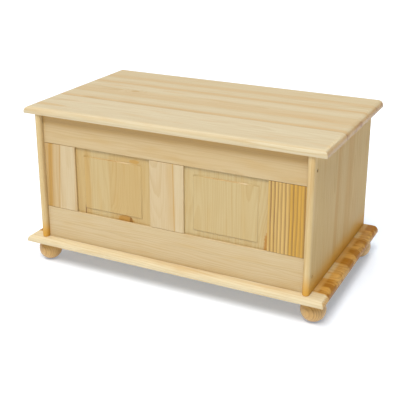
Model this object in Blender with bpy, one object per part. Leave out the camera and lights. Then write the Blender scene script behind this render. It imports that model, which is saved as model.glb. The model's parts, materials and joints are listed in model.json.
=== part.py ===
"""Pine toy box: a frame-and-panel front between two boards, a plinth on ball feet, a hinged lid.

Metres, +Z up. The front faces -Y and +X is to the right of someone who stands in front of it.
The origin is on the floor, under the middle of the whole box. The lid is shut.
"""

import math

import bmesh
import bpy
from mathutils import Matrix, Vector

# ---------------------------------------------------------------- driving dimensions
GAP = 0.0003  # clearance between pieces that touch
HALF_DEPTH = 0.2555  # half the depth over the plinth and the hinge barrels
CARCASS_HALF_WIDTH = 0.400
BOARD = 0.018  # sides, back and plinth
FRAME = 0.022  # rails and stiles
LID_THICKNESS = 0.019
FOOT_HEIGHT = 0.0655
CARCASS_TOP = 0.4466
PLINTH_HALF_WIDTH = 0.4425
LID_HALF_WIDTH = 0.431
EDGE_ROUND = 0.014  # rounded top edge of the lid and of the plinth
ARRIS = 0.0015  # softened edge of every other board
LID_GAP = 0.0004

# hinges
KNUCKLE_R = 0.0032
HINGE_PIN_R = 0.0015
HINGE_LENGTH = 0.060
HINGE_X = 0.255
LEAF = 0.0015  # thickness of a leaf
FIXED_LEAF_DROP = 0.030
LID_LEAF_RISE = 0.014

# places worked out from the sizes above
BACK_Y = HALF_DEPTH - GAP - 2 * KNUCKLE_R
NOSE_Y = -0.243
RAIL_Y = -0.2285
FRAME_BACK_Y = RAIL_Y + FRAME
LID_FRONT_Y = -0.2465
PLINTH_FRONT_Y = -HALF_DEPTH
PLINTH_BACK_Y = BACK_Y + 0.0055
PLINTH_Z = FOOT_HEIGHT + GAP
PLINTH_TOP = PLINTH_Z + BOARD
CARCASS_Z = PLINTH_TOP + GAP
LID_Z = CARCASS_TOP + LID_GAP
LID_TOP = LID_Z + LID_THICKNESS
INNER_X = CARCASS_HALF_WIDTH - BOARD
HINGE_AXIS = Vector((0.0, BACK_Y + GAP + KNUCKLE_R, CARCASS_TOP + LID_GAP / 2))

# front frame
BOTTOM_RAIL_TOP = 0.1765
TOP_RAIL_BOTTOM = 0.3650
STILE = 0.100  # width of a stile
TONGUE = 0.008  # thickness of the panels' tongues and the stiles' tenons
TONGUE_DEPTH = 0.006  # how far they reach into a groove
GROOVE_DEPTH = TONGUE_DEPTH + 0.001
PANEL_RECESS = 0.0055  # the panels' flat margin behind the frame's face
PANEL_SIDE_MARGIN = 0.027
PANEL_TOP_MARGIN = 0.022
PANEL_BOTTOM_MARGIN = 0.017
PANEL_SLOPE = 0.004
PANEL_RAISE = 0.003

# feet
FOOT_R = 0.0332
FOOT_X = 0.402
FOOT_FRONT_Y = -0.2025
FOOT_BACK_Y = 0.2065

# battens under the lid
BATTEN_WIDTH, BATTEN_DEPTH, BATTEN_X = 0.045, 0.018, 0.290
BATTEN_FRONT_Y, BATTEN_BACK_Y = -0.175, 0.195
BATTEN_ROUND = 0.003
BATTEN_SCREW_INSET = 0.045  # from each end of a batten

# screws between the side boards and the rails
RAIL_SCREW_SETBACK = 0.012  # behind the rails' face
RAIL_SCREW_Z = {"top_rail": 0.4055, "bottom_rail": 0.1275}
RAIL_SCREW_RECESS = 0.0045

# folding stay, on the inside of the left board; lengths from the hinge axis, forwards and down
STAY_X = -INNER_X
STAY_LID_FORWARD, STAY_LID_DROP = 0.150, 0.022
STAY_SIDE_FORWARD, STAY_SIDE_DROP = 0.045, 0.112
STAY_PLATE = 0.002
STAY_BAR = 0.016  # width of an arm
STAY_PLAY = 0.0008  # between plates that pass each other
BRACKET_HALF = 0.013  # half the width of both brackets
SIDE_BRACKET_DROP, SIDE_BRACKET_RISE = 0.034, 0.012  # from its pivot
LID_BRACKET_DROP = 0.008
LID_BRACKET_FOOT = 0.036  # how far its foot reaches along the lid
BRACKET_SCREWS = (0.014, 0.027)  # from the pivot, and from the edge of the ear
RIVET_R = 0.0025
RIVET_HEAD_R = 0.005
RIVET_HEAD = 0.0015
RIVET_PLAY = 0.0004
RIVET_CLEAR = 0.0004  # under a rivet's head
STAY_SIDE_PIVOT = HINGE_AXIS + Vector((STAY_X, -STAY_SIDE_FORWARD, -STAY_SIDE_DROP))
STAY_LID_PIVOT = HINGE_AXIS + Vector((STAY_X, -STAY_LID_FORWARD, -STAY_LID_DROP))
STAY_ELBOW = STAY_SIDE_PIVOT + Vector((0.0, -STAY_LID_FORWARD, -STAY_LID_DROP))

MERGE = 0.00001  # points closer than this are one
ROUND_STEPS = 24
SCREW_STEPS = 12
SHARP = math.radians(35)  # edges sharper than this stay crisp, others are shaded smooth

COLLECTION = "toy_box"
CUTTERS = "cutters"


def to_linear(hex_colour):
    """sRGB hex, such as D8C397, as linear RGBA."""
    channels = [int(hex_colour[i : i + 2], 16) / 255 for i in (0, 2, 4)]
    linear = [c / 12.92 if c <= 0.04045 else ((c + 0.055) / 1.055) ** 2.4 for c in channels]
    return (*linear, 1.0)


MATERIALS = {
    "lacquered_pine": ("D8C397", 0.38, 0.0),
    "turned_pine": ("C9A36A", 0.40, 0.0),
    "beech": ("C7A176", 0.55, 0.0),
    "zinc_plated_steel": ("B9BAB8", 0.35, 1.0),
    "brassed_steel": ("C9A55C", 0.30, 1.0),
}


def material(name):
    """The named material, made on first use."""
    found = bpy.data.materials.get(name)
    if found:
        return found
    colour, roughness, metallic = MATERIALS[name]
    made = bpy.data.materials.new(name)
    made.use_nodes = True
    shader = made.node_tree.nodes["Principled BSDF"]
    shader.inputs["Base Color"].default_value = to_linear(colour)
    shader.inputs["Roughness"].default_value = roughness
    shader.inputs["Metallic"].default_value = metallic
    made.diffuse_color = to_linear(colour)
    return made


# ---------------------------------------------------------------- scene and object helpers
def empty_scene():
    """Removes what the scene holds and adds the two collections."""
    for obj in list(bpy.data.objects):
        bpy.data.objects.remove(obj, do_unlink=True)
    for name in (COLLECTION, CUTTERS):
        bpy.context.scene.collection.children.link(bpy.data.collections.new(name))


def add(name, mesh, finish, location=(0, 0, 0), parent=None):
    """Links a piece into the box's collection; a parent is a pivot from pivot()."""
    obj = bpy.data.objects.new(name, mesh)
    bpy.data.collections[COLLECTION].objects.link(obj)
    obj.location = location
    obj.data.materials.append(material(finish))
    if parent:
        obj.parent = parent
        obj.matrix_parent_inverse = Matrix.Translation(-Vector(parent["place"]))
    return obj


def add_cutter(mesh, location):
    """Links a cutting or joining shape where the build leaves it out."""
    obj = bpy.data.objects.new("cutter", mesh)
    bpy.data.collections[CUTTERS].objects.link(obj)
    obj.location = location
    obj.hide_render = True
    obj.display_type = "WIRE"
    return obj


def pivot(name, place, parent=None):
    """An empty on a joint's axis, for the pieces that turn with it."""
    obj = bpy.data.objects.new(name, None)
    bpy.data.collections[COLLECTION].objects.link(obj)
    obj.location = place
    obj["place"] = tuple(place)
    if parent:
        obj.parent = parent
        obj.matrix_parent_inverse = Matrix.Translation(-Vector(parent["place"]))
    return obj


def combine(target, tool, operation):
    """Adds a Boolean of target with tool."""
    boolean = target.modifiers.new(operation.lower(), "BOOLEAN")
    boolean.operation = operation
    boolean.object = tool
    boolean.solver = "EXACT"


def box_mesh(size, rounds=0, chosen=None, segments=1):
    """A box of this size about its centre; chosen(edge) picks the edges that get rounded."""
    bm = bmesh.new()
    bmesh.ops.create_cube(bm, size=1.0, matrix=Matrix.Diagonal((*size, 1.0)))
    if rounds:
        edges = [e for e in bm.edges if chosen(e)]
        bmesh.ops.bevel(
            bm, geom=edges, offset=rounds, segments=segments, profile=0.5, affect="EDGES"
        )
    mesh = bpy.data.meshes.new("box")
    bm.to_mesh(mesh)
    bm.free()
    return mesh


def board(name, low, high, finish="lacquered_pine", rounds=0, chosen=None, segments=1, parent=None):
    """A box piece between two corners, with the chosen edges rounded."""
    low, high = Vector(low), Vector(high)
    mesh = box_mesh(high - low, rounds, chosen, segments)
    obj = add(name, mesh, finish, (low + high) / 2, parent)
    if segments > 1:
        shade_round(mesh)
    return obj


def cut_box(targets, low, high):
    """Cuts the box between two corners out of the targets."""
    low, high = Vector(low), Vector(high)
    tool = add_cutter(box_mesh(high - low), (low + high) / 2)
    for target in targets:
        combine(target, tool, "DIFFERENCE")


def join_box(target, low, high):
    """Joins the box between two corners to the target."""
    low, high = Vector(low), Vector(high)
    combine(target, add_cutter(box_mesh(high - low), (low + high) / 2), "UNION")


def shade_round(mesh):
    """Shades a mesh smooth, with its sharp edges kept crisp."""
    mesh.shade_smooth()
    mesh.set_sharp_from_angle(angle=SHARP)


def cylinder_mesh(radius, length, steps):
    """A closed cylinder along Z about its centre."""
    bm = bmesh.new()
    bmesh.ops.create_cone(
        bm, cap_ends=True, segments=steps, radius1=radius, radius2=radius, depth=length
    )
    mesh = bpy.data.meshes.new("cylinder")
    bm.to_mesh(mesh)
    bm.free()
    shade_round(mesh)
    return mesh


def turn_to(direction):
    """The rotation that takes +Z to a direction."""
    return Vector(direction).to_track_quat("Z", "Y")


def cylinder_tool(start, end, radius, steps=SCREW_STEPS):
    """A cylinder between two points, as a cutter."""
    start, end = Vector(start), Vector(end)
    tool = add_cutter(cylinder_mesh(radius, (end - start).length, steps), (start + end) / 2)
    tool.rotation_mode = "QUATERNION"
    tool.rotation_quaternion = turn_to(end - start)
    return tool


def drill(targets, start, end, radius, steps=SCREW_STEPS):
    """Cuts a round hole from start to end in each target."""
    tool = cylinder_tool(start, end, radius, steps)
    for target in targets:
        combine(target, tool, "DIFFERENCE")


def turned(name, profile, place, direction, finish, steps=SCREW_STEPS, parent=None):
    """A turned piece; profile is (radius, distance along direction), outermost end first."""
    bm = bmesh.new()
    verts = [bm.verts.new((radius, 0.0, height)) for radius, height in profile]
    for first, second in zip(verts, verts[1:]):
        bm.edges.new((first, second))
    bmesh.ops.spin(
        bm, geom=bm.verts[:] + bm.edges[:], axis=(0, 0, 1), angle=2 * math.pi, steps=steps
    )
    bmesh.ops.remove_doubles(bm, verts=bm.verts, dist=MERGE)
    bmesh.ops.recalc_face_normals(bm, faces=bm.faces)
    mesh = bpy.data.meshes.new(name)
    bm.to_mesh(mesh)
    bm.free()
    shade_round(mesh)
    obj = add(name, mesh, finish, place, parent)
    obj.rotation_mode = "QUATERNION"
    obj.rotation_quaternion = turn_to(direction)
    return obj


def headed(name, place, inward, head, shank, finish="zinc_plated_steel", parent=None):
    """A screw: head and shank are (radius, length), and place is the middle of its seat."""
    head_r, head_length = head
    shank_r, shank_length = shank
    outline = [
        (0.0, head_length),
        (head_r * 0.7, head_length),
        (head_r, head_length * 0.5),
        (head_r, 0.0),
        (shank_r, 0.0),
        (shank_r, -shank_length * 0.85),
        (0.0, -shank_length),
    ]
    return turned(name, outline, place, -Vector(inward), finish, parent=parent)


# ---------------------------------------------------------------- the edges that a round picks
def is_top_front_or_end(edge):
    """Top edges of the front and both ends, for the lid and the plinth."""
    middle = (edge.verts[0].co + edge.verts[1].co) / 2
    level = abs(edge.verts[0].co.z - edge.verts[1].co.z) < 1e-6
    at_back = edge.verts[0].co.y > 0 and edge.verts[1].co.y > 0
    return level and middle.z > 0 and not at_back


def is_front_upright(edge):
    """Upright edges of the front."""
    return all(v.co.y < 0 for v in edge.verts) and edge.verts[0].co.z * edge.verts[1].co.z < 0


def is_front(edge):
    """Every edge around the front face."""
    return all(v.co.y < 0 for v in edge.verts)


def is_front_level(edge):
    """The two level edges of the front face."""
    return is_front(edge) and edge.verts[0].co.x * edge.verts[1].co.x < 0


def is_below(edge):
    """Every edge around the underside."""
    return all(v.co.z < 0 for v in edge.verts)


# ---------------------------------------------------------------- carcass
def make_sides():
    """The two boards, each with a fully rounded front edge."""
    sides = {}
    for side, sign in (("left", -1), ("right", 1)):
        inner, outer = sign * INNER_X, sign * CARCASS_HALF_WIDTH
        sides[side] = board(
            f"{side}_side_board",
            (min(inner, outer), NOSE_Y, CARCASS_Z),
            (max(inner, outer), BACK_Y, CARCASS_TOP),
            rounds=BOARD / 2 - 0.0002,
            chosen=is_front_upright,
            segments=6,
        )
    return sides


def make_rails():
    """The two full-width rails, each grooved along its inner edge."""
    reach = INNER_X - GAP
    groove_y = RAIL_Y + PANEL_RECESS
    spans = {
        "bottom_rail": (CARCASS_Z, BOTTOM_RAIL_TOP),
        "top_rail": (TOP_RAIL_BOTTOM, CARCASS_TOP),
    }
    rails = {}
    for name, (low_z, high_z) in spans.items():
        rails[name] = board(
            name,
            (-reach, RAIL_Y, low_z),
            (reach, FRAME_BACK_Y, high_z),
            rounds=ARRIS,
            chosen=is_front_level,
            segments=2,
        )
        inner_z = high_z if name == "bottom_rail" else low_z
        cut_box(
            [rails[name]],
            (-INNER_X - 0.01, groove_y - GAP, inner_z - GROOVE_DEPTH),
            (INNER_X + 0.01, groove_y + TONGUE + GAP, inner_z + GROOVE_DEPTH),
        )
    return rails


def make_stiles():
    """Three stiles with tenons at both ends and grooves for the panels."""
    low_z, high_z = BOTTOM_RAIL_TOP + GAP, TOP_RAIL_BOTTOM - GAP
    tongue_y = RAIL_Y + PANEL_RECESS
    centres = {"left_stile": -INNER_X + STILE / 2, "centre_stile": 0.0}
    centres["right_stile"] = -centres["left_stile"]
    for name, x in centres.items():
        shift = GAP / 2 * (x > 0) - GAP / 2 * (x < 0)
        low_x, high_x = x - STILE / 2 - shift, x + STILE / 2 - shift
        stile = board(
            name,
            (low_x, RAIL_Y, low_z),
            (high_x, FRAME_BACK_Y, high_z),
            rounds=ARRIS,
            chosen=is_front,
            segments=2,
        )
        join_box(
            stile,
            (low_x + GROOVE_DEPTH, tongue_y, low_z - TONGUE_DEPTH),
            (high_x - GROOVE_DEPTH, tongue_y + TONGUE, high_z + TONGUE_DEPTH),
        )
        for edge_x, grooved in ((low_x, x > -0.1), (high_x, x < 0.1)):
            if grooved:
                cut_box(
                    [stile],
                    (edge_x - GROOVE_DEPTH, tongue_y - GAP, low_z - 0.02),
                    (edge_x + GROOVE_DEPTH, tongue_y + TONGUE + GAP, high_z + 0.02),
                )


def make_raised_panels():
    """The two panels: a flat margin, a slope and a raised field."""
    inner_edge, outer_edge = STILE / 2, INNER_X - STILE
    height = TOP_RAIL_BOTTOM - BOTTOM_RAIL_TOP + 2 * TONGUE_DEPTH
    width = outer_edge - inner_edge + 2 * TONGUE_DEPTH
    for name, sign in (("left_raised_panel", -1), ("right_raised_panel", 1)):
        bm = bmesh.new()
        bmesh.ops.create_cube(bm, size=1.0, matrix=Matrix.Diagonal((width, TONGUE, height, 1.0)))
        front = min(bm.faces, key=lambda face: face.calc_center_median().y)
        bmesh.ops.inset_region(bm, faces=[front], thickness=TONGUE_DEPTH)
        for vert in front.verts:
            margin = PANEL_TOP_MARGIN if vert.co.z > 0 else PANEL_BOTTOM_MARGIN
            vert.co.x -= math.copysign(PANEL_SIDE_MARGIN, vert.co.x)
            vert.co.z -= math.copysign(margin, vert.co.z)
        bmesh.ops.inset_region(bm, faces=[front], thickness=PANEL_SLOPE, depth=PANEL_RAISE)
        mesh = bpy.data.meshes.new(name)
        bm.to_mesh(mesh)
        bm.free()
        x = sign * (inner_edge + outer_edge) / 2
        y = RAIL_Y + PANEL_RECESS + TONGUE / 2
        add(name, mesh, "lacquered_pine", (x, y, (TOP_RAIL_BOTTOM + BOTTOM_RAIL_TOP) / 2))


def make_back():
    """The back board, between the sides."""
    reach = INNER_X - GAP
    return board(
        "back_board", (-reach, BACK_Y - BOARD, CARCASS_Z), (reach, BACK_Y, CARCASS_TOP)
    )


def make_plinth():
    """The moulded board that the carcass stands on, and is its floor."""
    return board(
        "plinth_board",
        (-PLINTH_HALF_WIDTH, PLINTH_FRONT_Y, PLINTH_Z),
        (PLINTH_HALF_WIDTH, PLINTH_BACK_Y, PLINTH_TOP),
        rounds=EDGE_ROUND,
        chosen=is_top_front_or_end,
        segments=6,
    )


def make_feet(plinth):
    """Four turned balls with a flat top and a flat underside, each on a hanger bolt."""
    middle = FOOT_HEIGHT / 2
    limit = math.asin(middle / FOOT_R)
    rings = 10
    angles = [limit - 2 * limit * i / rings for i in range(rings + 1)]
    arc = [(FOOT_R * math.cos(a), middle + FOOT_R * math.sin(a)) for a in angles]
    arc[0] = (arc[0][0], FOOT_HEIGHT)
    arc[-1] = (arc[-1][0], 0.0)
    profile = [(0.0, FOOT_HEIGHT), *arc, (0.0, 0.0)]
    bolt_r, into_plinth, into_foot = 0.003, 0.013, 0.026
    for end, y in (("front", FOOT_FRONT_Y), ("back", FOOT_BACK_Y)):
        for side, sign in (("left", -1), ("right", 1)):
            x = sign * FOOT_X
            foot = turned(
                f"{end}_{side}_foot", profile, (x, y, 0), (0, 0, 1), "turned_pine", ROUND_STEPS
            )
            top = PLINTH_Z + into_plinth
            low = FOOT_HEIGHT - into_foot
            drill([foot, plinth], (x, y, low - GAP), (x, y, top + GAP), bolt_r + GAP)
            outline = [(0.0, top), (bolt_r, top), (bolt_r, low), (0.0, low)]
            turned(
                f"{end}_{side}_foot_bolt", outline, (x, y, 0), (0, 0, 1), "zinc_plated_steel"
            )


def make_assembly_screws(sides, rails):
    """Connecting screws, sunk below the side boards' faces, into the ends of the rails."""
    head_length, head_r, shank_r, reach = 0.0030, 0.0042, 0.0024, 0.048
    for side, sign in (("left", -1), ("right", 1)):
        face = Vector((sign * CARCASS_HALF_WIDTH, RAIL_Y + RAIL_SCREW_SETBACK, 0))
        inward = Vector((-sign, 0, 0))
        for rail, z in RAIL_SCREW_Z.items():
            start = face + Vector((0, 0, z))
            seat = start + inward * RAIL_SCREW_RECESS
            mouth, floor = start - inward * 0.01, seat + inward * GAP
            drill([sides[side]], mouth, floor, head_r + GAP, ROUND_STEPS)
            end = seat + inward * (reach + GAP)
            drill([sides[side], rails[rail]], seat - inward * 0.002, end, shank_r + GAP)
            headed(f"{side}_{rail}_screw", seat, inward, (head_r, head_length), (shank_r, reach))


def make_back_dowels(sides, back):
    """Beech dowels between the side boards and the back."""
    radius, half_length = 0.004, 0.013
    y = BACK_Y - BOARD / 2
    for side, sign in (("left", -1), ("right", 1)):
        for level, z in (("upper", 0.385), ("lower", 0.150)):
            place = Vector((sign * INNER_X, y, z))
            along = Vector((half_length, 0, 0))
            hole = along * (1 + GAP / half_length)
            drill([sides[side], back], place - hole, place + hole, radius + GAP)
            outline = [(0, half_length), (radius, half_length), (radius, -half_length)]
            outline.append((0, -half_length))
            turned(f"{side}_{level}_back_dowel", outline, place, (1, 0, 0), "beech")


# ---------------------------------------------------------------- lid
def make_lid(axis):
    """The lid board, rounded like the plinth along the front and both ends."""
    return board(
        "lid_board",
        (-LID_HALF_WIDTH, LID_FRONT_Y, LID_Z),
        (LID_HALF_WIDTH, BACK_Y, LID_TOP),
        rounds=EDGE_ROUND,
        chosen=is_top_front_or_end,
        segments=6,
        parent=axis,
    )


def make_battens(axis, lid):
    """Two battens under the lid, which keep it flat, each held by two screws."""
    head, shank = (0.0038, 0.0022), (0.0018, 0.026)
    top = LID_Z - GAP
    low = top - BATTEN_DEPTH
    ends = {"front": BATTEN_FRONT_Y + BATTEN_SCREW_INSET, "back": BATTEN_BACK_Y - BATTEN_SCREW_INSET}
    for side, sign in (("left", -1), ("right", 1)):
        x = sign * BATTEN_X
        batten = board(
            f"{side}_lid_batten",
            (x - BATTEN_WIDTH / 2, BATTEN_FRONT_Y, low),
            (x + BATTEN_WIDTH / 2, BATTEN_BACK_Y, top),
            rounds=BATTEN_ROUND,
            chosen=is_below,
            segments=2,
            parent=axis,
        )
        for end, y in ends.items():
            seat = Vector((x, y, low - GAP))
            up = Vector((0, 0, 1))
            drill([batten, lid], seat - up * 0.001, seat + up * (shank[1] + GAP), shank[0] + GAP)
            headed(f"{side}_batten_{end}_screw", seat, up, head, shank, parent=axis)


# ---------------------------------------------------------------- hinges
def make_leaf(name, x, low_z, high_z, knuckles, parent=None):
    """A leaf: a plate on the back face, its knuckles round the axis, and their bore."""
    near, far = BACK_Y + GAP, BACK_Y + GAP + LEAF
    half = HINGE_LENGTH / 2
    leaf = board(
        name, (x - half, near, low_z), (x + half, far, high_z), "brassed_steel", parent=parent
    )
    edge_z = low_z if low_z > HINGE_AXIS.z else high_z
    root_low, root_high = sorted((HINGE_AXIS.z, edge_z + (edge_z - HINGE_AXIS.z) * 0.2))
    for start, end in knuckles:
        join_box(leaf, (x + start, near, root_low), (x + end, far, root_high))
        barrel = cylinder_tool(
            (x + start, HINGE_AXIS.y, HINGE_AXIS.z),
            (x + end, HINGE_AXIS.y, HINGE_AXIS.z),
            KNUCKLE_R,
            16,
        )
        combine(leaf, barrel, "UNION")
    bore_r = HINGE_PIN_R + GAP
    drill(
        [leaf],
        (x - half - 0.01, HINGE_AXIS.y, HINGE_AXIS.z),
        (x + half + 0.01, HINGE_AXIS.y, HINGE_AXIS.z),
        bore_r,
    )
    return leaf


def make_hinges(axis, lid, back):
    """Two butt hinges on the back: fixed leaf, lid leaf, pin and two screws in each leaf."""
    third = HINGE_LENGTH / 6
    half = HINGE_LENGTH / 2
    screw_x = 0.02
    clear = KNUCKLE_R + 2 * GAP
    head, shank = (0.0028, 0.0014), (0.0013, 0.014)
    for side, sign in (("left", -1), ("right", 1)):
        x = sign * HINGE_X
        low, high = HINGE_AXIS.z - clear - FIXED_LEAF_DROP, HINGE_AXIS.z - clear
        outer = ((-half, -third - GAP / 2), (third + GAP / 2, half))
        fixed = make_leaf(f"{side}_hinge_fixed_leaf", x, low, high, outer)
        low_lid, high_lid = HINGE_AXIS.z + clear, HINGE_AXIS.z + clear + LID_LEAF_RISE
        inner = ((-third + GAP / 2, third - GAP / 2),)
        moving = make_leaf(f"{side}_hinge_lid_leaf", x, low_lid, high_lid, inner, axis)
        pin_half = half + 0.001
        pin = [(0.0, pin_half), (HINGE_PIN_R, pin_half), (HINGE_PIN_R, -pin_half)]
        pin.append((0.0, -pin_half))
        place = HINGE_AXIS + Vector((x, 0, 0))
        turned(f"{side}_hinge_pin", pin, place, (1, 0, 0), "brassed_steel")
        rows = (
            ("fixed", fixed, back, (low + high) / 2, None),
            ("lid", moving, lid, (low_lid + high_lid) / 2, axis),
        )
        for row, leaf, wood, z, parent in rows:
            for end, offset in (("outer", sign * screw_x), ("inner", -sign * screw_x)):
                seat = Vector((x + offset, BACK_Y + GAP + LEAF + GAP, z))
                inward = Vector((0, -1, 0))
                stop = seat + inward * (shank[1] + GAP)
                drill([leaf, wood], seat - inward * 0.002, stop, shank[0] + GAP)
                name = f"{side}_hinge_{row}_{end}_screw"
                headed(name, seat, inward, head, shank, "brassed_steel", parent)


# ---------------------------------------------------------------- folding stay
def bar_curve(name, length, hole_r):
    """A flat bar with round ends from its pivot along +X, with a hole at each pivot."""
    curve = bpy.data.curves.new(name, "CURVE")
    curve.dimensions = "2D"
    curve.fill_mode = "BOTH"
    curve.extrude = STAY_PLATE / 2
    radius, steps = STAY_BAR / 2, 8
    outline = []
    for centre, start in ((length, -math.pi / 2), (0.0, math.pi / 2)):
        for i in range(steps + 1):
            angle = start + math.pi * i / steps
            outline.append((centre + radius * math.cos(angle), radius * math.sin(angle)))
    loops = [outline]
    for centre in (0.0, length):
        ring = [2 * math.pi * i / SCREW_STEPS for i in range(SCREW_STEPS)]
        loops.append([(centre + hole_r * math.cos(a), hole_r * math.sin(a)) for a in ring])
    for points in loops:
        spline = curve.splines.new("POLY")
        spline.points.add(len(points) - 1)
        for point, (x, y) in zip(spline.points, points):
            point.co = (x, y, 0.0, 1.0)
        spline.use_cyclic_u = True
    return curve


def make_arm(name, start, end, x, parent):
    """An arm of the stay in a plane of constant X, with its origin on its own pivot."""
    along = Vector((0, end.y - start.y, end.z - start.z))
    bar = bar_curve(name, along.length, RIVET_R + RIVET_PLAY)
    arm = add(name, bar, "zinc_plated_steel", (x, start.y, start.z), parent)
    across = Vector((1, 0, 0))
    forward = along.normalized()
    turn = Matrix((forward, across.cross(forward), across)).transposed()
    arm.rotation_mode = "QUATERNION"
    arm.rotation_quaternion = turn.to_quaternion()
    return arm


def rivet(name, place, head, far_head=None, foot=0.0, parent=None):
    """A rivet along X with a head, and a far head or a plain foot, by distance from the board."""
    start, end = head
    outline = [(0.0, end), (RIVET_HEAD_R * 0.7, end), (RIVET_HEAD_R, (start + end) / 2)]
    outline += [(RIVET_HEAD_R, start), (RIVET_R, start)]
    if far_head:
        start, end = far_head
        outline += [(RIVET_R, end), (RIVET_HEAD_R, end), (RIVET_HEAD_R * 0.7, start)]
        outline.append((0.0, start))
    else:
        outline += [(RIVET_R, foot), (0.0, foot)]
    return turned(name, outline, place, (1, 0, 0), "zinc_plated_steel", parent=parent)


def make_stay(axis, lid, left_side):
    """The two-arm friction stay that holds the lid at any height, with its brackets."""
    bracket_x = GAP
    lower_x = bracket_x + STAY_PLATE + STAY_PLAY
    upper_x = lower_x + STAY_PLATE + STAY_PLAY
    ear_x = upper_x + STAY_PLATE + STAY_PLAY
    place = STAY_SIDE_PIVOT
    side_bracket = board(
        "stay_side_bracket",
        (STAY_X + bracket_x, place.y - BRACKET_HALF, place.z - SIDE_BRACKET_DROP),
        (STAY_X + bracket_x + STAY_PLATE, place.y + BRACKET_HALF, place.z + SIDE_BRACKET_RISE),
        "zinc_plated_steel",
    )
    through = Vector((0.01, 0, 0))
    drill([side_bracket], place - through, place + through, RIVET_R + GAP)

    lower_axis = pivot("stay_lower_axis", place)
    make_arm("stay_lower_arm", place, STAY_ELBOW, STAY_X + lower_x + STAY_PLATE / 2, lower_axis)
    head_x = lower_x + STAY_PLATE + RIVET_CLEAR
    rivet("stay_side_rivet", place, (head_x, head_x + RIVET_HEAD), foot=bracket_x + GAP)
    head_x = upper_x + STAY_PLATE + RIVET_CLEAR
    far_x = lower_x - RIVET_CLEAR
    rivet(
        "stay_elbow_rivet",
        STAY_ELBOW,
        (head_x, head_x + RIVET_HEAD),
        (far_x - RIVET_HEAD, far_x),
        parent=lower_axis,
    )

    place = STAY_LID_PIVOT
    upper_axis = pivot("stay_upper_axis", place, axis)
    make_arm("stay_upper_arm", place, STAY_ELBOW, STAY_X + upper_x + STAY_PLATE / 2, upper_axis)
    lid_bracket = board(
        "stay_lid_bracket",
        (STAY_X + ear_x, place.y - BRACKET_HALF, place.z - LID_BRACKET_DROP),
        (STAY_X + ear_x + STAY_PLATE, place.y + BRACKET_HALF, LID_Z - GAP),
        "zinc_plated_steel",
        parent=axis,
    )
    join_box(
        lid_bracket,
        (STAY_X + ear_x + STAY_PLATE / 2, place.y - BRACKET_HALF, LID_Z - GAP - STAY_PLATE),
        (STAY_X + ear_x + LID_BRACKET_FOOT, place.y + BRACKET_HALF, LID_Z - GAP),
    )
    drill([lid_bracket], place, place + 2 * through, RIVET_R + GAP)
    head_x = ear_x + STAY_PLATE + RIVET_CLEAR
    far_x = upper_x - RIVET_CLEAR
    rivet(
        "stay_lid_rivet",
        place,
        (head_x, head_x + RIVET_HEAD),
        (far_x - RIVET_HEAD, far_x),
        parent=axis,
    )

    head, shank = (0.0032, 0.0016), (0.0016, 0.012)
    inward, up = Vector((-1, 0, 0)), Vector((0, 0, 1))
    for row, drop in zip(("upper", "lower"), BRACKET_SCREWS):
        centre = STAY_SIDE_PIVOT
        seat = Vector((STAY_X + bracket_x + STAY_PLATE + GAP, centre.y, centre.z - drop))
        stop = seat + inward * (shank[1] + GAP)
        drill([side_bracket, left_side], seat - inward * 0.002, stop, shank[0] + GAP)
        headed(f"stay_side_{row}_screw", seat, inward, head, shank)
    for row, reach in zip(("outer", "inner"), BRACKET_SCREWS):
        seat = Vector((STAY_X + ear_x + reach, STAY_LID_PIVOT.y, LID_Z - STAY_PLATE - 2 * GAP))
        stop = seat + up * (shank[1] + GAP)
        drill([lid_bracket, lid], seat - up * 0.002, stop, shank[0] + GAP)
        headed(f"stay_lid_{row}_screw", seat, up, head, shank, parent=axis)


def main():
    """Builds the whole box, shut."""
    empty_scene()
    sides = make_sides()
    rails = make_rails()
    make_stiles()
    make_raised_panels()
    back = make_back()
    plinth = make_plinth()
    make_feet(plinth)
    make_assembly_screws(sides, rails)
    make_back_dowels(sides, back)

    lid_axis = pivot("lid_hinge_axis", HINGE_AXIS)
    lid = make_lid(lid_axis)
    make_battens(lid_axis, lid)
    make_hinges(lid_axis, lid, back)
    make_stay(lid_axis, lid, sides["left"])


main()
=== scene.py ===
"""Looks of the pine toy box: lacquered pine boards, turned feet, plated hardware and a pale studio."""

import json
import logging
import math
import random
from collections.abc import Callable, Sequence
from dataclasses import dataclass, field, replace
from enum import Enum
from functools import partial

import bmesh
import bpy
from mathutils import Matrix, Vector


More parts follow.
